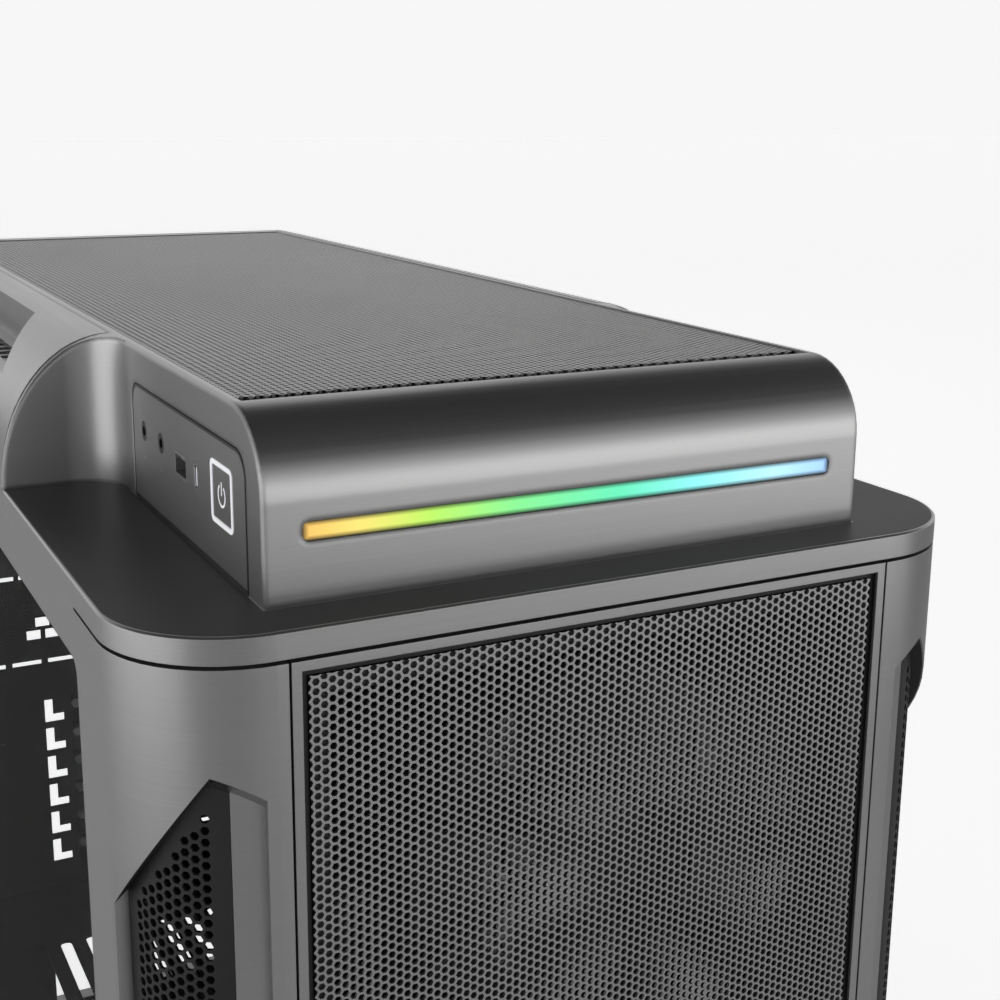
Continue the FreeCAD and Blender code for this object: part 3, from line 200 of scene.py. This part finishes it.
looks = {
    "gunmetal": {
        "dark": (0.29, 0.29, 0.29), "light": (0.36, 0.355, 0.355), "group": brushedGrain, "metallic": 0.9,
        "bump": 0.12, "distance": 0.00006, "edge": 0.0003, "grain": {"Base": 0.27, "Spread": 0.14},
    },
    "deck_black": {
        "dark": (0.038, 0.038, 0.039), "light": (0.050, 0.050, 0.051), "group": fineGrain, "specular": 0.15,
        "bump": 0.08, "grain": {"Base": 0.36, "Spread": 0.12},
    },
    "mesh_grey": {
        "dark": (0.27, 0.27, 0.27), "light": (0.34, 0.34, 0.34), "group": fineGrain, "metallic": 0.8,
        "grain": {"Base": 0.34, "Spread": 0.10},
    },
    "steel_black": {
        "dark": (0.004, 0.004, 0.005), "light": (0.008, 0.008, 0.009), "group": fineGrain, "specular": 0.06,
        "bump": 0.15, "grain": {"Base": 0.45, "Spread": 0.15},
    },
    "hinge_metal": {
        "dark": (0.020, 0.020, 0.021), "light": (0.032, 0.032, 0.033), "group": fineGrain, "metallic": 0.3,
        "bump": 0.10, "grain": {"Base": 0.38, "Spread": 0.12},
    },
    "screw_steel": {
        "dark": (0.50, 0.50, 0.50), "light": (0.62, 0.62, 0.61), "group": fineGrain, "metallic": 1.0,
        "grain": {"Base": 0.28, "Spread": 0.12},
    },
    "brass": {
        "dark": (0.52, 0.36, 0.13), "light": (0.62, 0.45, 0.19), "group": fineGrain, "metallic": 1.0,
        "grain": {"Base": 0.28, "Spread": 0.12},
    },
    "port_metal": {
        "dark": (0.46, 0.46, 0.47), "light": (0.56, 0.56, 0.57), "group": brushedGrain, "metallic": 1.0,
        "bump": 0.05, "grain": {"Base": 0.25, "Spread": 0.12},
    },
    "jack_black": {
        "dark": (0.008, 0.008, 0.008), "light": (0.014, 0.014, 0.014), "group": fineGrain,
        "grain": {"Base": 0.3, "Spread": 0.1},
    },
    "board": {
        "dark": (0.010, 0.022, 0.016), "light": (0.016, 0.034, 0.024), "group": fineGrain,
        "grain": {"Base": 0.35, "Spread": 0.12},
    },
    "fan_frame": {
        "dark": (0.008, 0.008, 0.008), "light": (0.014, 0.014, 0.014), "group": fineGrain, "specular": 0.25,
        "bump": 0.15, "grain": {"Base": 0.5, "Spread": 0.15},
    },
    "fan_rotor": {
        "dark": (0.010, 0.010, 0.011), "light": (0.018, 0.018, 0.019), "group": fineGrain, "specular": 0.35,
        "bump": 0.05, "grain": {"Base": 0.42, "Spread": 0.12},
    },
    "plastic_black": {
        "dark": (0.010, 0.010, 0.011), "light": (0.018, 0.018, 0.019), "group": fineGrain, "specular": 0.3,
        "bump": 0.15, "grain": {"Base": 0.42, "Spread": 0.15},
    },
    "rubber": {
        "dark": (0.012, 0.012, 0.012), "light": (0.020, 0.020, 0.020), "group": fineGrain,
        "bump": 0.25, "grain": {"Base": 0.72, "Spread": 0.12},
    },
}
finishes = {slot: finish(slot, look) for slot, look in looks.items()}

glassLook = {  # the clear pane is thin, so that no veil hides the inside, and its sawn edges are deep green
    "clear": {
        "tint": (0.93, 0.96, 0.95), "alpha": 0.045, "edgeTint": (0.10, 0.22, 0.18), "edgeAlpha": 0.85,
    },
    "smoked": {
        "tint": (0.06, 0.06, 0.065), "alpha": 0.92, "edgeTint": (0.03, 0.05, 0.045), "edgeAlpha": 0.95,
    },
    "ior": 1.45, "facing": 0.7, "grain": {"Scale": 3.0, "Base": 0.0, "Spread": 0.02},
}


def makeGlass(name, look):
    material, tree, shader = newMaterial(name)
    effect = placeGroup(tree, fineGrain, **glassLook["grain"])
    tree.links.new(effect.outputs["Roughness"], shader.inputs["Roughness"])
    coords = addNode(tree, "ShaderNodeTexCoord")
    parts = addNode(tree, "ShaderNodeSeparateXYZ")
    size = addNode(tree, "ShaderNodeMath", operation="ABSOLUTE")
    isPane = addNode(tree, "ShaderNodeMath", operation="GREATER_THAN")
    isPane.inputs[1].default_value = glassLook["facing"]
    tint = addNode(tree, "ShaderNodeMix", data_type="RGBA")
    tint.inputs["A"].default_value = (*look["edgeTint"], 1)
    tint.inputs["B"].default_value = (*look["tint"], 1)
    clear = addNode(tree, "ShaderNodeMix", data_type="FLOAT")
    clear.inputs["A"].default_value = look["edgeAlpha"]
    clear.inputs["B"].default_value = look["alpha"]
    link = tree.links.new
    link(coords.outputs["Normal"], parts.inputs[0])
    link(parts.outputs["X"], size.inputs[0])
    link(size.outputs[0], isPane.inputs[0])
    for mix, socket in ((tint, "Base Color"), (clear, "Alpha")):
        link(isPane.outputs[0], mix.inputs["Factor"])
        link(mix.outputs["Result"], shader.inputs[socket])
    shader.inputs["Transmission Weight"].default_value = 1.0
    shader.inputs["IOR"].default_value = glassLook["ior"]
    return material


barLook = {  # the colour runs along the bar and darkens towards its rim
    "stops": (
        (0.00, (0.85, 0.50, 0.12)), (0.09, (0.86, 0.70, 0.17)), (0.21, (0.46, 0.80, 0.11)),
        (0.36, (0.22, 0.80, 0.26)), (0.56, (0.12, 0.78, 0.45)), (0.72, (0.26, 0.86, 0.86)),
        (0.88, (0.46, 0.84, 0.97)), (1.00, (0.36, 0.60, 0.96)),
    ),
    "strength": 1.2, "rim": 0.02, "heart": 0.45, "end": 0.0022,
    "base": (0.01, 0.01, 0.01), "roughness": 0.3, "specular": 0.2,
}


def rimMask(tree, place, low, high, start):  # 1 in the middle, and falls off from start to the edge
    shift = addNode(tree, "ShaderNodeMath", operation="SUBTRACT")
    shift.inputs[1].default_value = (low + high) / 2
    away = addNode(tree, "ShaderNodeMath", operation="ABSOLUTE")
    fall = addNode(tree, "ShaderNodeMapRange")
    fall.inputs["From Min"].default_value = start
    fall.inputs["From Max"].default_value = (high - low) / 2
    fall.inputs["To Min"].default_value = 1.0
    fall.inputs["To Max"].default_value = barLook["rim"]
    tree.links.new(place, shift.inputs[0])
    tree.links.new(shift.outputs[0], away.inputs[0])
    tree.links.new(away.outputs[0], fall.inputs["Value"])
    return fall.outputs["Result"]


def makeLightBar():
    material, tree, shader = newMaterial("lightBarGlow")
    low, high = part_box("light_bar")
    coords = addNode(tree, "ShaderNodeTexCoord")
    parts = addNode(tree, "ShaderNodeSeparateXYZ")
    along = addNode(tree, "ShaderNodeMapRange")
    along.inputs["From Min"].default_value = low[0]
    along.inputs["From Max"].default_value = high[0]
    halfLength, halfHeight = (high[0] - low[0]) / 2, (high[2] - low[2]) / 2
    ends = rimMask(tree, parts.outputs["X"], low[0], high[0], halfLength - barLook["end"])
    edges = rimMask(tree, parts.outputs["Z"], low[2], high[2], halfHeight * barLook["heart"])
    mask = addNode(tree, "ShaderNodeMath", operation="MINIMUM")
    ramp = addNode(tree, "ShaderNodeValToRGB")
    stops = barLook["stops"]
    while len(ramp.color_ramp.elements) < len(stops):
        ramp.color_ramp.elements.new(0.5)
    for element, (place, colour) in zip(ramp.color_ramp.elements, stops):
        element.position = place
        element.color = (*colour, 1)
    lit = addNode(tree, "ShaderNodeMix", data_type="RGBA", blend_type="MULTIPLY")
    lit.inputs["Factor"].default_value = 1.0
    link = tree.links.new
    link(coords.outputs["Object"], parts.inputs[0])
    link(parts.outputs["X"], along.inputs["Value"])
    link(along.outputs["Result"], ramp.inputs["Fac"])
    link(edges, mask.inputs[0])
    link(ends, mask.inputs[1])
    link(ramp.outputs["Color"], lit.inputs["A"])
    link(mask.outputs[0], lit.inputs["B"])
    link(lit.outputs["Result"], shader.inputs["Emission Color"])
    shader.inputs["Emission Strength"].default_value = barLook["strength"]
    shader.inputs["Base Color"].default_value = (*barLook["base"], 1)
    shader.inputs["Roughness"].default_value = barLook["roughness"]
    shader.inputs["Specular IOR Level"].default_value = barLook["specular"]
    return material


ringLook = {  # white ring and sign of the power button
    "base": (0.5, 0.5, 0.52), "glow": (0.95, 0.97, 1.0), "strength": 0.5,
    "grain": {"Scale": 300.0, "Base": 0.3, "Spread": 0.1},
}


def makeRingGlow():
    material, tree, shader = newMaterial("ringGlow")
    effect = placeGroup(tree, fineGrain, **ringLook["grain"])
    tree.links.new(effect.outputs["Roughness"], shader.inputs["Roughness"])
    shader.inputs["Base Color"].default_value = (*ringLook["base"], 1)
    shader.inputs["Emission Color"].default_value = (*ringLook["glow"], 1)
    shader.inputs["Emission Strength"].default_value = ringLook["strength"]
    return material


finishes["door_glass"] = makeGlass("clearGlass", glassLook["clear"])
finishes["smoked_glass"] = makeGlass("smokedGlass", glassLook["smoked"])
finishes["light"] = makeLightBar()
finishes["ring_light"] = makeRingGlow()
foldEdge = 0.0025  # wide, so that no hard line shows where the fold ends
softFold = finish("gunmetalFold", {**looks["gunmetal"], "edge": foldEdge})
slotOf = {part["node"]: part["material_slot"] for part in frame["record"]["subparts"]}
for name, node in nodes.items():
    node.data.materials.clear()
    node.data.materials.append(softFold if name == "spine_shell" else finishes[slotOf[name]])
print("finishes set")


def addMesh(name, points, faces, slot, body="chassis"):
    mesh = bpy.data.meshes.new(name)
    mesh.from_pydata(points, [], faces)
    mesh.materials.append(finishes[slot])
    piece = bpy.data.objects.new(name, mesh)
    bpy.context.scene.collection.objects.link(piece)
    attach(piece, body)
    return piece


def honeycomb(uSpan, vSpan, pitch):  # centres of a lattice that runs past all four edges
    step = pitch * math.sqrt(3) / 2
    columns = math.ceil((uSpan[1] - uSpan[0]) / step) + 2
    rows = math.ceil((vSpan[1] - vSpan[0]) / pitch) + 2
    uFirst = sum(uSpan) / 2 - step * (columns - 1) / 2
    vFirst = sum(vSpan) / 2 - pitch * (rows - 1) / 2
    cells = []
    for column in range(columns):
        shift = pitch / 4 if column % 2 else -pitch / 4
        for row in range(rows):
            cells.append((uFirst + column * step, vFirst + row * pitch + shift))
    return cells


def faceArea(ring):
    total = Vector((0, 0, 0))
    for a, b in zip(ring, ring[1:] + ring[:1]):
        total += Vector(a).cross(Vector(b))
    return total.length / 2


leastFace = 1e-9  # square metres; clamped cells leave smaller slivers, which are dropped


def perforate(name, cells, look, place, slot, isOpen=None):  # per cell a web ring and the opening's walls
    outer = look["pitch"] / math.sqrt(3)
    inner = outer - look["web"] / math.sqrt(3)
    turns = [math.radians(60 * i) for i in range(6)]
    points, faces = [], []
    for u, v in cells:
        rings = [[place(u + outer * math.cos(t), v + outer * math.sin(t), 0.0) for t in turns]]
        if isOpen and not isOpen(u, v):
            made = [tuple(range(6))]
        else:
            for depth in (0.0, look["depth"]):
                rings.append([place(u + inner * math.cos(t), v + inner * math.sin(t), depth) for t in turns])
            made = [(i, (i + 1) % 6, 6 + (i + 1) % 6, 6 + i) for i in range(6)]
            made += [(6 + i, 6 + (i + 1) % 6, 12 + (i + 1) % 6, 12 + i) for i in range(6)]
        corners = [point for ring in rings for point in ring]
        kept = [face for face in made if faceArea([corners[i] for i in face]) > leastFace]
        start = len(points)
        points += corners if kept else []
        faces += [tuple(start + i for i in face) for face in kept]
    return addMesh(name, points, faces, slot)


def clamp(value, low, high):
    return min(max(value, low), high)


frontMeshLook = {
    "pitch": 0.00288, "web": 0.00080, "depth": 0.0010, "parts": 2, "bare": -1.0,
    "inset": 0.0034, "rim": 0.010, "shade": 0.00105,
}
topMeshLook = {
    "pitch": 0.00288, "web": 0.00115, "depth": 0.0010, "parts": 3, "bare": 0.0075,
    "inset": 0.0, "rim": 0.012, "shade": 0.00105,
}


def sheetMesh(node, label, look, up):  # up is the axis that runs along the sheet beside X
    low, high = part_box(node)
    deep = 3 - up
    face = low[deep] if up == 2 else high[deep]
    inward = 1 if up == 2 else -1

    def place(u, v, depth, inset=look["inset"]):
        spot = [clamp(u, low[0] + inset, high[0] - inset), 0, 0]
        spot[up] = clamp(v, low[up] + inset, high[up] - inset)
        spot[deep] = face + inward * depth
        return tuple(spot)

    outer = [(low[0], low[up]), (high[0], low[up]), (high[0], high[up]), (low[0], high[up])]
    rim = look["rim"]
    turns = [(1, 1), (-1, 1), (-1, -1), (1, -1)]
    inner = [(u + rim * a, v + rim * b) for (u, v), (a, b) in zip(outer, turns)]
    corners = [place(u, v, look["shade"], 0.0) for u, v in outer + inner]
    sides = [(i, (i + 1) % 4, 4 + (i + 1) % 4, 4 + i) for i in range(4)]
    addMesh(label + "Shade", corners, sides, "plastic_black")  # dark sheet as painted shade: keeps the openings dark over the ledge, which lies in shadow
    cells = honeycomb((low[0], high[0]), (low[up], high[up]), look["pitch"])
    cells = [cell for cell in cells if cell[1] > low[up] + look["bare"]]  # toothed gap at the near edge
    share = math.ceil(len(cells) / look["parts"])
    for i in range(look["parts"]):
        piece = perforate("%s%d" % (label, i + 1), cells[i * share:(i + 1) * share], look, place, "mesh_grey")
        if i == 0:
            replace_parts(piece, node)
    print(label, len(cells), "openings")


insertLook = {  # the curved insert of a pillar under its two roof planes, as in the solids
    "pitch": 0.0036, "web": 0.0011, "depth": 0.0010, "border": 0.0045, "steps": 24,
    "corner": 0.040, "floor": 0.0356, "lip": 0.0394, "first": 21.2, "last": 84.1, "slack": 0.0003,
    "peak": 0.0409, "peakPlace": 0.0117, "frontRun": 1.08, "sideRise": 1.31, "bottom": 0.096,
    "closed": 1.6, "turn": 9,
}


def insertRoof(angle, radius, deckZ):
    look = insertLook
    corner = look["corner"]
    s = radius * math.sin(math.radians(45 - angle))
    d = math.sqrt(2) * corner - radius * math.cos(math.radians(45 - angle))
    first = math.sqrt(2) * corner - math.sqrt(corner ** 2 - look["peakPlace"] ** 2)
    fall = min(-look["frontRun"] * (d - first), look["sideRise"] * (s - look["peakPlace"]))
    return deckZ - look["peak"] - look["slack"] + fall


def pillarInsert(side):
    look = insertLook
    node = "left_pillar_mesh" if side < 0 else "right_pillar_mesh"
    label = "pillarInsertLeft" if side < 0 else "pillarInsertRight"
    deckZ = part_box("top_deck")[1][2]
    axis = (cadHigh[0] - look["corner"], cadLow[1] + look["corner"])
    middle = (deckZ - look["peak"] + look["bottom"]) / 2

    def spot(angle, radius, z):
        t = math.radians(angle)
        return (side * (axis[0] + radius * math.sin(t)), axis[1] - radius * math.cos(t), z)

    def place(u, v, depth):
        angle = clamp(math.degrees(u / look["floor"]), look["first"], look["last"])
        roof = insertRoof(angle, look["floor"], deckZ)
        return spot(angle, look["floor"] - depth, clamp(v, 2 * middle - roof, roof))

    def isOpen(u, v):
        angle = math.degrees(u / look["floor"])
        edge = math.degrees(look["border"] / look["floor"])
        reach = insertRoof(angle, look["floor"], deckZ) - middle - look["closed"] * look["border"]
        return look["first"] + edge < angle < look["last"] - edge and abs(v - middle) < reach

    uSpan = [math.radians(look[key]) * look["floor"] for key in ("first", "last")]
    top = insertRoof(look["first"] + look["turn"], look["floor"], deckZ)
    cells = honeycomb(uSpan, (2 * middle - top, top), look["pitch"])
    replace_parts(perforate(label, cells, look, place, "plastic_black", isOpen), node)
    points, faces = [], []
    for sign in (1, -1):  # lining along the roof planes, above and below
        for i in range(look["steps"] + 1):
            angle = look["first"] + (look["last"] - look["first"]) * i / look["steps"]
            for radius in (look["floor"], look["lip"]):
                z = insertRoof(angle, radius, deckZ)
                points.append(spot(angle, radius, z if sign > 0 else 2 * middle - z))
            if i:
                n = len(points)
                faces.append((n - 4, n - 3, n - 1, n - 2))
    addMesh(label + "Lining", points, faces, "plastic_black")


iconLook = {"radius": 0.0038, "stroke": 0.0008, "gap": 70, "steps": 20, "lift": 0.00005, "bar": 0.0043}


def powerIcon():  # open ring with a bar, on the face of the button
    look = iconLook
    low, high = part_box("power_button")
    x = low[0] - look["lift"]
    y, z = (low[1] + high[1]) / 2, (low[2] + high[2]) / 2
    points, faces = [], []
    for i in range(look["steps"] + 1):
        t = math.radians(90 + look["gap"] / 2 + (360 - look["gap"]) * i / look["steps"])
        for radius in (look["radius"], look["radius"] - look["stroke"]):
            points.append((x, y + radius * math.cos(t), z + radius * math.sin(t)))
        if i:
            n = len(points)
            faces.append((n - 4, n - 3, n - 1, n - 2))
    w = look["stroke"] / 2
    n = len(points)
    points += [(x, y - w, z), (x, y + w, z), (x, y + w, z + look["bar"]), (x, y - w, z + look["bar"])]
    faces.append((n, n + 1, n + 2, n + 3))
    addMesh("powerIcon", points, faces, "ring_light", "button")


portLook = {  # white tongue in the narrow port, whose glow is painted light, pale marks under the sockets, and the painted shadow of the gap round the panel
    "sink": 0.0004, "tongue": (0.0016, 0.0066), "mark": (0.0036, 0.0012), "fall": 0.0095, "lift": 0.00006,
    # painted shadow of the panel's gap: its width round the panel, its height at the foot, its width on the
    # deck, and the rounding of its top corners
    "gapShadow": 0.0010, "foot": 0.0014, "seam": 0.0008, "corner": 0.008, "steps": 8,
}


def sideCard(name, centre, size, slot):  # upright rectangle with cut corners that faces left
    x, y, z = centre
    w, h = size[0] / 2, size[1] / 2
    c = min(w, h) / 2
    outline = [
        (-w, c - h), (c - w, -h), (w - c, -h), (w, c - h), (w, h - c), (w - c, h), (c - w, h), (-w, h - c),
    ]
    return addMesh(name, [(x, y + a, z + b) for a, b in outline], [tuple(range(7, -1, -1))], slot)


def portDetails():
    low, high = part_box("usb_c_port")
    y, z = (low[1] + high[1]) / 2, (low[2] + high[2]) / 2
    # the tongue takes the glowing ring finish, so its glow is painted light; the port is no lamp
    sideCard("narrowPortTongueGlow", (low[0] + portLook["sink"], y, z), portLook["tongue"], "ring_light")
    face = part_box("port_panel")[0][0] - portLook["lift"]
    for i, node in enumerate(("usb_c_port", "usb_a_port", "sound_jack_front", "sound_jack_rear")):
        low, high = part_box(node)
        y, z = (low[1] + high[1]) / 2, (low[2] + high[2]) / 2 - portLook["fall"]
        sideCard("portMark%d" % (i + 1), (face, y, z), portLook["mark"], "port_metal")


def panelShadowGap():  # painted shadow of the gap round the port panel: a dark line, square at the deck and rounded at the top, with a dark strip up the foot of the wall and one on the deck
    low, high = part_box("port_panel")
    x = low[0] - portLook["lift"]
    half = portLook["gapShadow"] / 2
    corner = portLook["corner"]
    points = [(x, low[1] - half, low[2]), (x, low[1] + half, low[2])]
    for y, first in ((low[1] + corner, 180), (high[1] - corner, 90)):
        for i in range(portLook["steps"] + 1):
            t = math.radians(first - 90 * i / portLook["steps"])
            for radius in (corner + half, corner - half):
                points.append((x, y + radius * math.cos(t), high[2] - corner + radius * math.sin(t)))
    points += [(x, high[1] + half, low[2]), (x, high[1] - half, low[2])]
    faces = [(n, n + 1, n + 3, n + 2) for n in range(0, len(points) - 2, 2)]
    n = len(points)
    foot = low[2] + portLook["foot"]
    points += [(x, low[1], low[2]), (x, high[1], low[2]), (x, high[1], foot), (x, low[1], foot)]
    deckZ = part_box("deck_inlay")[1][2] + portLook["lift"]
    # painted shadow on the deck along the foot of the panel
    for edge in (x, x - portLook["seam"]):
        points += [(edge, low[1], deckZ), (edge, high[1], deckZ)]
    faces += [(n, n + 1, n + 2, n + 3), (n + 4, n + 5, n + 7, n + 6)]
    addMesh("panelShadowGap", points, faces, "jack_black")


patchLook = {"fillet": 0.018, "seam": 0.0006, "lift": 0.00005, "steps": 10}


def deckPatch(side):  # dark corner of the deck inside the fillet of an arched wall
    reach, seam = patchLook["fillet"], patchLook["seam"]
    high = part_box("deck_inlay")[1]
    z = high[2] + patchLook["lift"]
    x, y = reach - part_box("port_panel")[0][0], high[1] - reach
    outline = [(x + seam, y - seam), (x - reach, y - seam)]
    for i in range(patchLook["steps"] + 1):
        t = math.radians(90 * i / patchLook["steps"])
        outline.append((x - reach * math.cos(t), y + reach * math.sin(t)))
    outline.append((x + seam, y + reach))
    face = tuple(range(len(outline)))
    name = "deckPatchLeft" if side < 0 else "deckPatchRight"
    points = [(side * a, b, z) for a, b in outline]
    addMesh(name, points, [face if side < 0 else face[::-1]], "deck_black")


sheetMesh("front_mesh", "frontMesh", frontMeshLook, 2)
sheetMesh("top_mesh", "topMesh", topMeshLook, 1)
pillarInsert(-1)
pillarInsert(1)
powerIcon()
portDetails()
panelShadowGap()
deckPatch(-1)
deckPatch(1)
print("meshes made")

stageLook = {
    "size": 30.0, "tone": 0.90, "glow": 0.05, "seenGlow": 0.70, "backdrop": 0.93,
    "low": 0.22, "high": 0.62, "dim": 0.03, "front": 1.15, "back": 1.06, "facing": (-0.45, -0.9, 0.0),
    "turn": (-1.0, 0.6), "roughness": 0.8, "specular": 0.1,
}


def makeStage():
    size = stageLook["size"]
    mesh = bpy.data.meshes.new("floor")
    corners = [(-size, -size, 0), (size, -size, 0), (size, size, 0), (-size, size, 0)]
    mesh.from_pydata(corners, [], [(0, 1, 2, 3)])
    material, tree, shader = newMaterial("floorPale")
    shader.inputs["Base Color"].default_value = (*[stageLook["tone"]] * 3, 1)
    shader.inputs["Roughness"].default_value = stageLook["roughness"]
    shader.inputs["Specular IOR Level"].default_value = stageLook["specular"]
    shader.inputs["Emission Color"].default_value = (1, 1, 1, 1)
    path = addNode(tree, "ShaderNodeLightPath")
    seen = addNode(tree, "ShaderNodeMix", data_type="FLOAT")
    seen.inputs["A"].default_value = stageLook["glow"]
    seen.inputs["B"].default_value = stageLook["seenGlow"]
    tree.links.new(path.outputs["Is Camera Ray"], seen.inputs["Factor"])
    tree.links.new(seen.outputs["Result"], shader.inputs["Emission Strength"])
    mesh.materials.append(material)
    floor = bpy.data.objects.new("floor", mesh)
    bpy.context.scene.collection.objects.link(floor)


def makeWorld():  # pale to the eye; its light is bright round the horizon in front, and dark above
    world = bpy.data.worlds.new("studio")
    bpy.context.scene.world = world
    world.use_nodes = True
    tree = world.node_tree
    coords = addNode(tree, "ShaderNodeTexCoord")
    parts = addNode(tree, "ShaderNodeSeparateXYZ")
    fade = addNode(tree, "ShaderNodeMapRange", interpolation_type="SMOOTHSTEP")
    fade.inputs["From Min"].default_value = stageLook["low"]
    fade.inputs["From Max"].default_value = stageLook["high"]
    fade.inputs["To Min"].default_value = 1.0
    fade.inputs["To Max"].default_value = stageLook["dim"]
    facing = addNode(tree, "ShaderNodeVectorMath", operation="DOT_PRODUCT")
    facing.inputs[1].default_value = stageLook["facing"]
    level = addNode(tree, "ShaderNodeMapRange", interpolation_type="SMOOTHSTEP")
    level.inputs["From Min"].default_value = stageLook["turn"][0]
    level.inputs["From Max"].default_value = stageLook["turn"][1]
    level.inputs["To Min"].default_value = stageLook["back"]
    level.inputs["To Max"].default_value = stageLook["front"]
    light = addNode(tree, "ShaderNodeMath", operation="MULTIPLY")
    path = addNode(tree, "ShaderNodeLightPath")
    seen = addNode(tree, "ShaderNodeMix", data_type="FLOAT")
    seen.inputs["B"].default_value = stageLook["backdrop"]
    link = tree.links.new
    link(coords.outputs["Generated"], parts.inputs[0])
    link(parts.outputs["Z"], fade.inputs["Value"])
    link(coords.outputs["Generated"], facing.inputs[0])
    link(facing.outputs["Value"], level.inputs["Value"])
    link(fade.outputs["Result"], light.inputs[0])
    link(level.outputs["Result"], light.inputs[1])
    link(path.outputs["Is Camera Ray"], seen.inputs["Factor"])
    link(light.outputs[0], seen.inputs["A"])
    link(seen.outputs["Result"], tree.nodes["Background"].inputs["Strength"])
    tree.nodes["Background"].inputs["Color"].default_value = (1, 1, 1, 1)


lights = (
    {
        "name": "softLeft", "at": (-1.7, 0.0, 0.45), "aim": (0.0, 0.0, 0.45), "size": (2.6, 0.9),
        "power": 12,
    },
    {
        "name": "softFront", "at": (0.62, -1.25, 0.49), "aim": (0.0, -0.31, 0.52), "size": (1.2, 0.5),
        "power": 3.2,
    },
    {
        "name": "softBack", "at": (0.6, 3.0, 2.6), "aim": (0.0, 0.0, 0.4), "size": (2.4, 1.2),
        "power": 4,
    },
)


def makeLights():
    for look in lights:
        data = bpy.data.lights.new(look["name"], "AREA")
        data.shape = "RECTANGLE"
        data.size, data.size_y = look["size"]
        data.energy = look["power"]
        lamp = bpy.data.objects.new(look["name"], data)
        lamp.location = look["at"]
        aim = Vector(look["aim"]) - Vector(look["at"])
        lamp.rotation_euler = aim.to_track_quat("-Z", "Y").to_euler()
        bpy.context.scene.collection.objects.link(lamp)


cameraLook = {  # solved from the straight edges of the picture, taken as 1000 x 1000
    "at": (-0.2348, -0.6768, 0.6640), "yaw": 27.283, "pitch": 12.896, "roll": -0.420,
    "focal": 1488.34, "centre": (488.32, 447.25), "frame": 1000.0, "sensor": 36.0, "near": 0.02,
}


def makeCamera():
    look = cameraLook
    yaw, pitch, roll = (math.radians(look[key]) for key in ("yaw", "pitch", "roll"))
    ahead = Vector((math.sin(yaw) * math.cos(pitch), math.cos(yaw) * math.cos(pitch), -math.sin(pitch)))
    right = Vector((math.cos(yaw), -math.sin(yaw), 0))
    down = ahead.cross(right)
    xAxis = math.cos(roll) * right + math.sin(roll) * down
    yAxis = math.sin(roll) * right - math.cos(roll) * down
    turn = Matrix((xAxis, yAxis, -ahead)).transposed().to_4x4()
    data = bpy.data.cameras.new("pictureCamera")
    data.sensor_width = look["sensor"]
    data.lens = look["focal"] * look["sensor"] / look["frame"]
    data.shift_x = 0.5 - look["centre"][0] / look["frame"]
    data.shift_y = look["centre"][1] / look["frame"] - 0.5
    data.clip_start = look["near"]
    camera = bpy.data.objects.new("pictureCamera", data)
    camera.matrix_world = Matrix.Translation(look["at"]) @ turn
    bpy.context.scene.collection.objects.link(camera)
    bpy.context.scene.camera = camera
    bpy.context.scene.view_settings.view_transform = "Standard"


makeStage()
makeWorld()
makeLights()
makeCamera()
print("stage set")
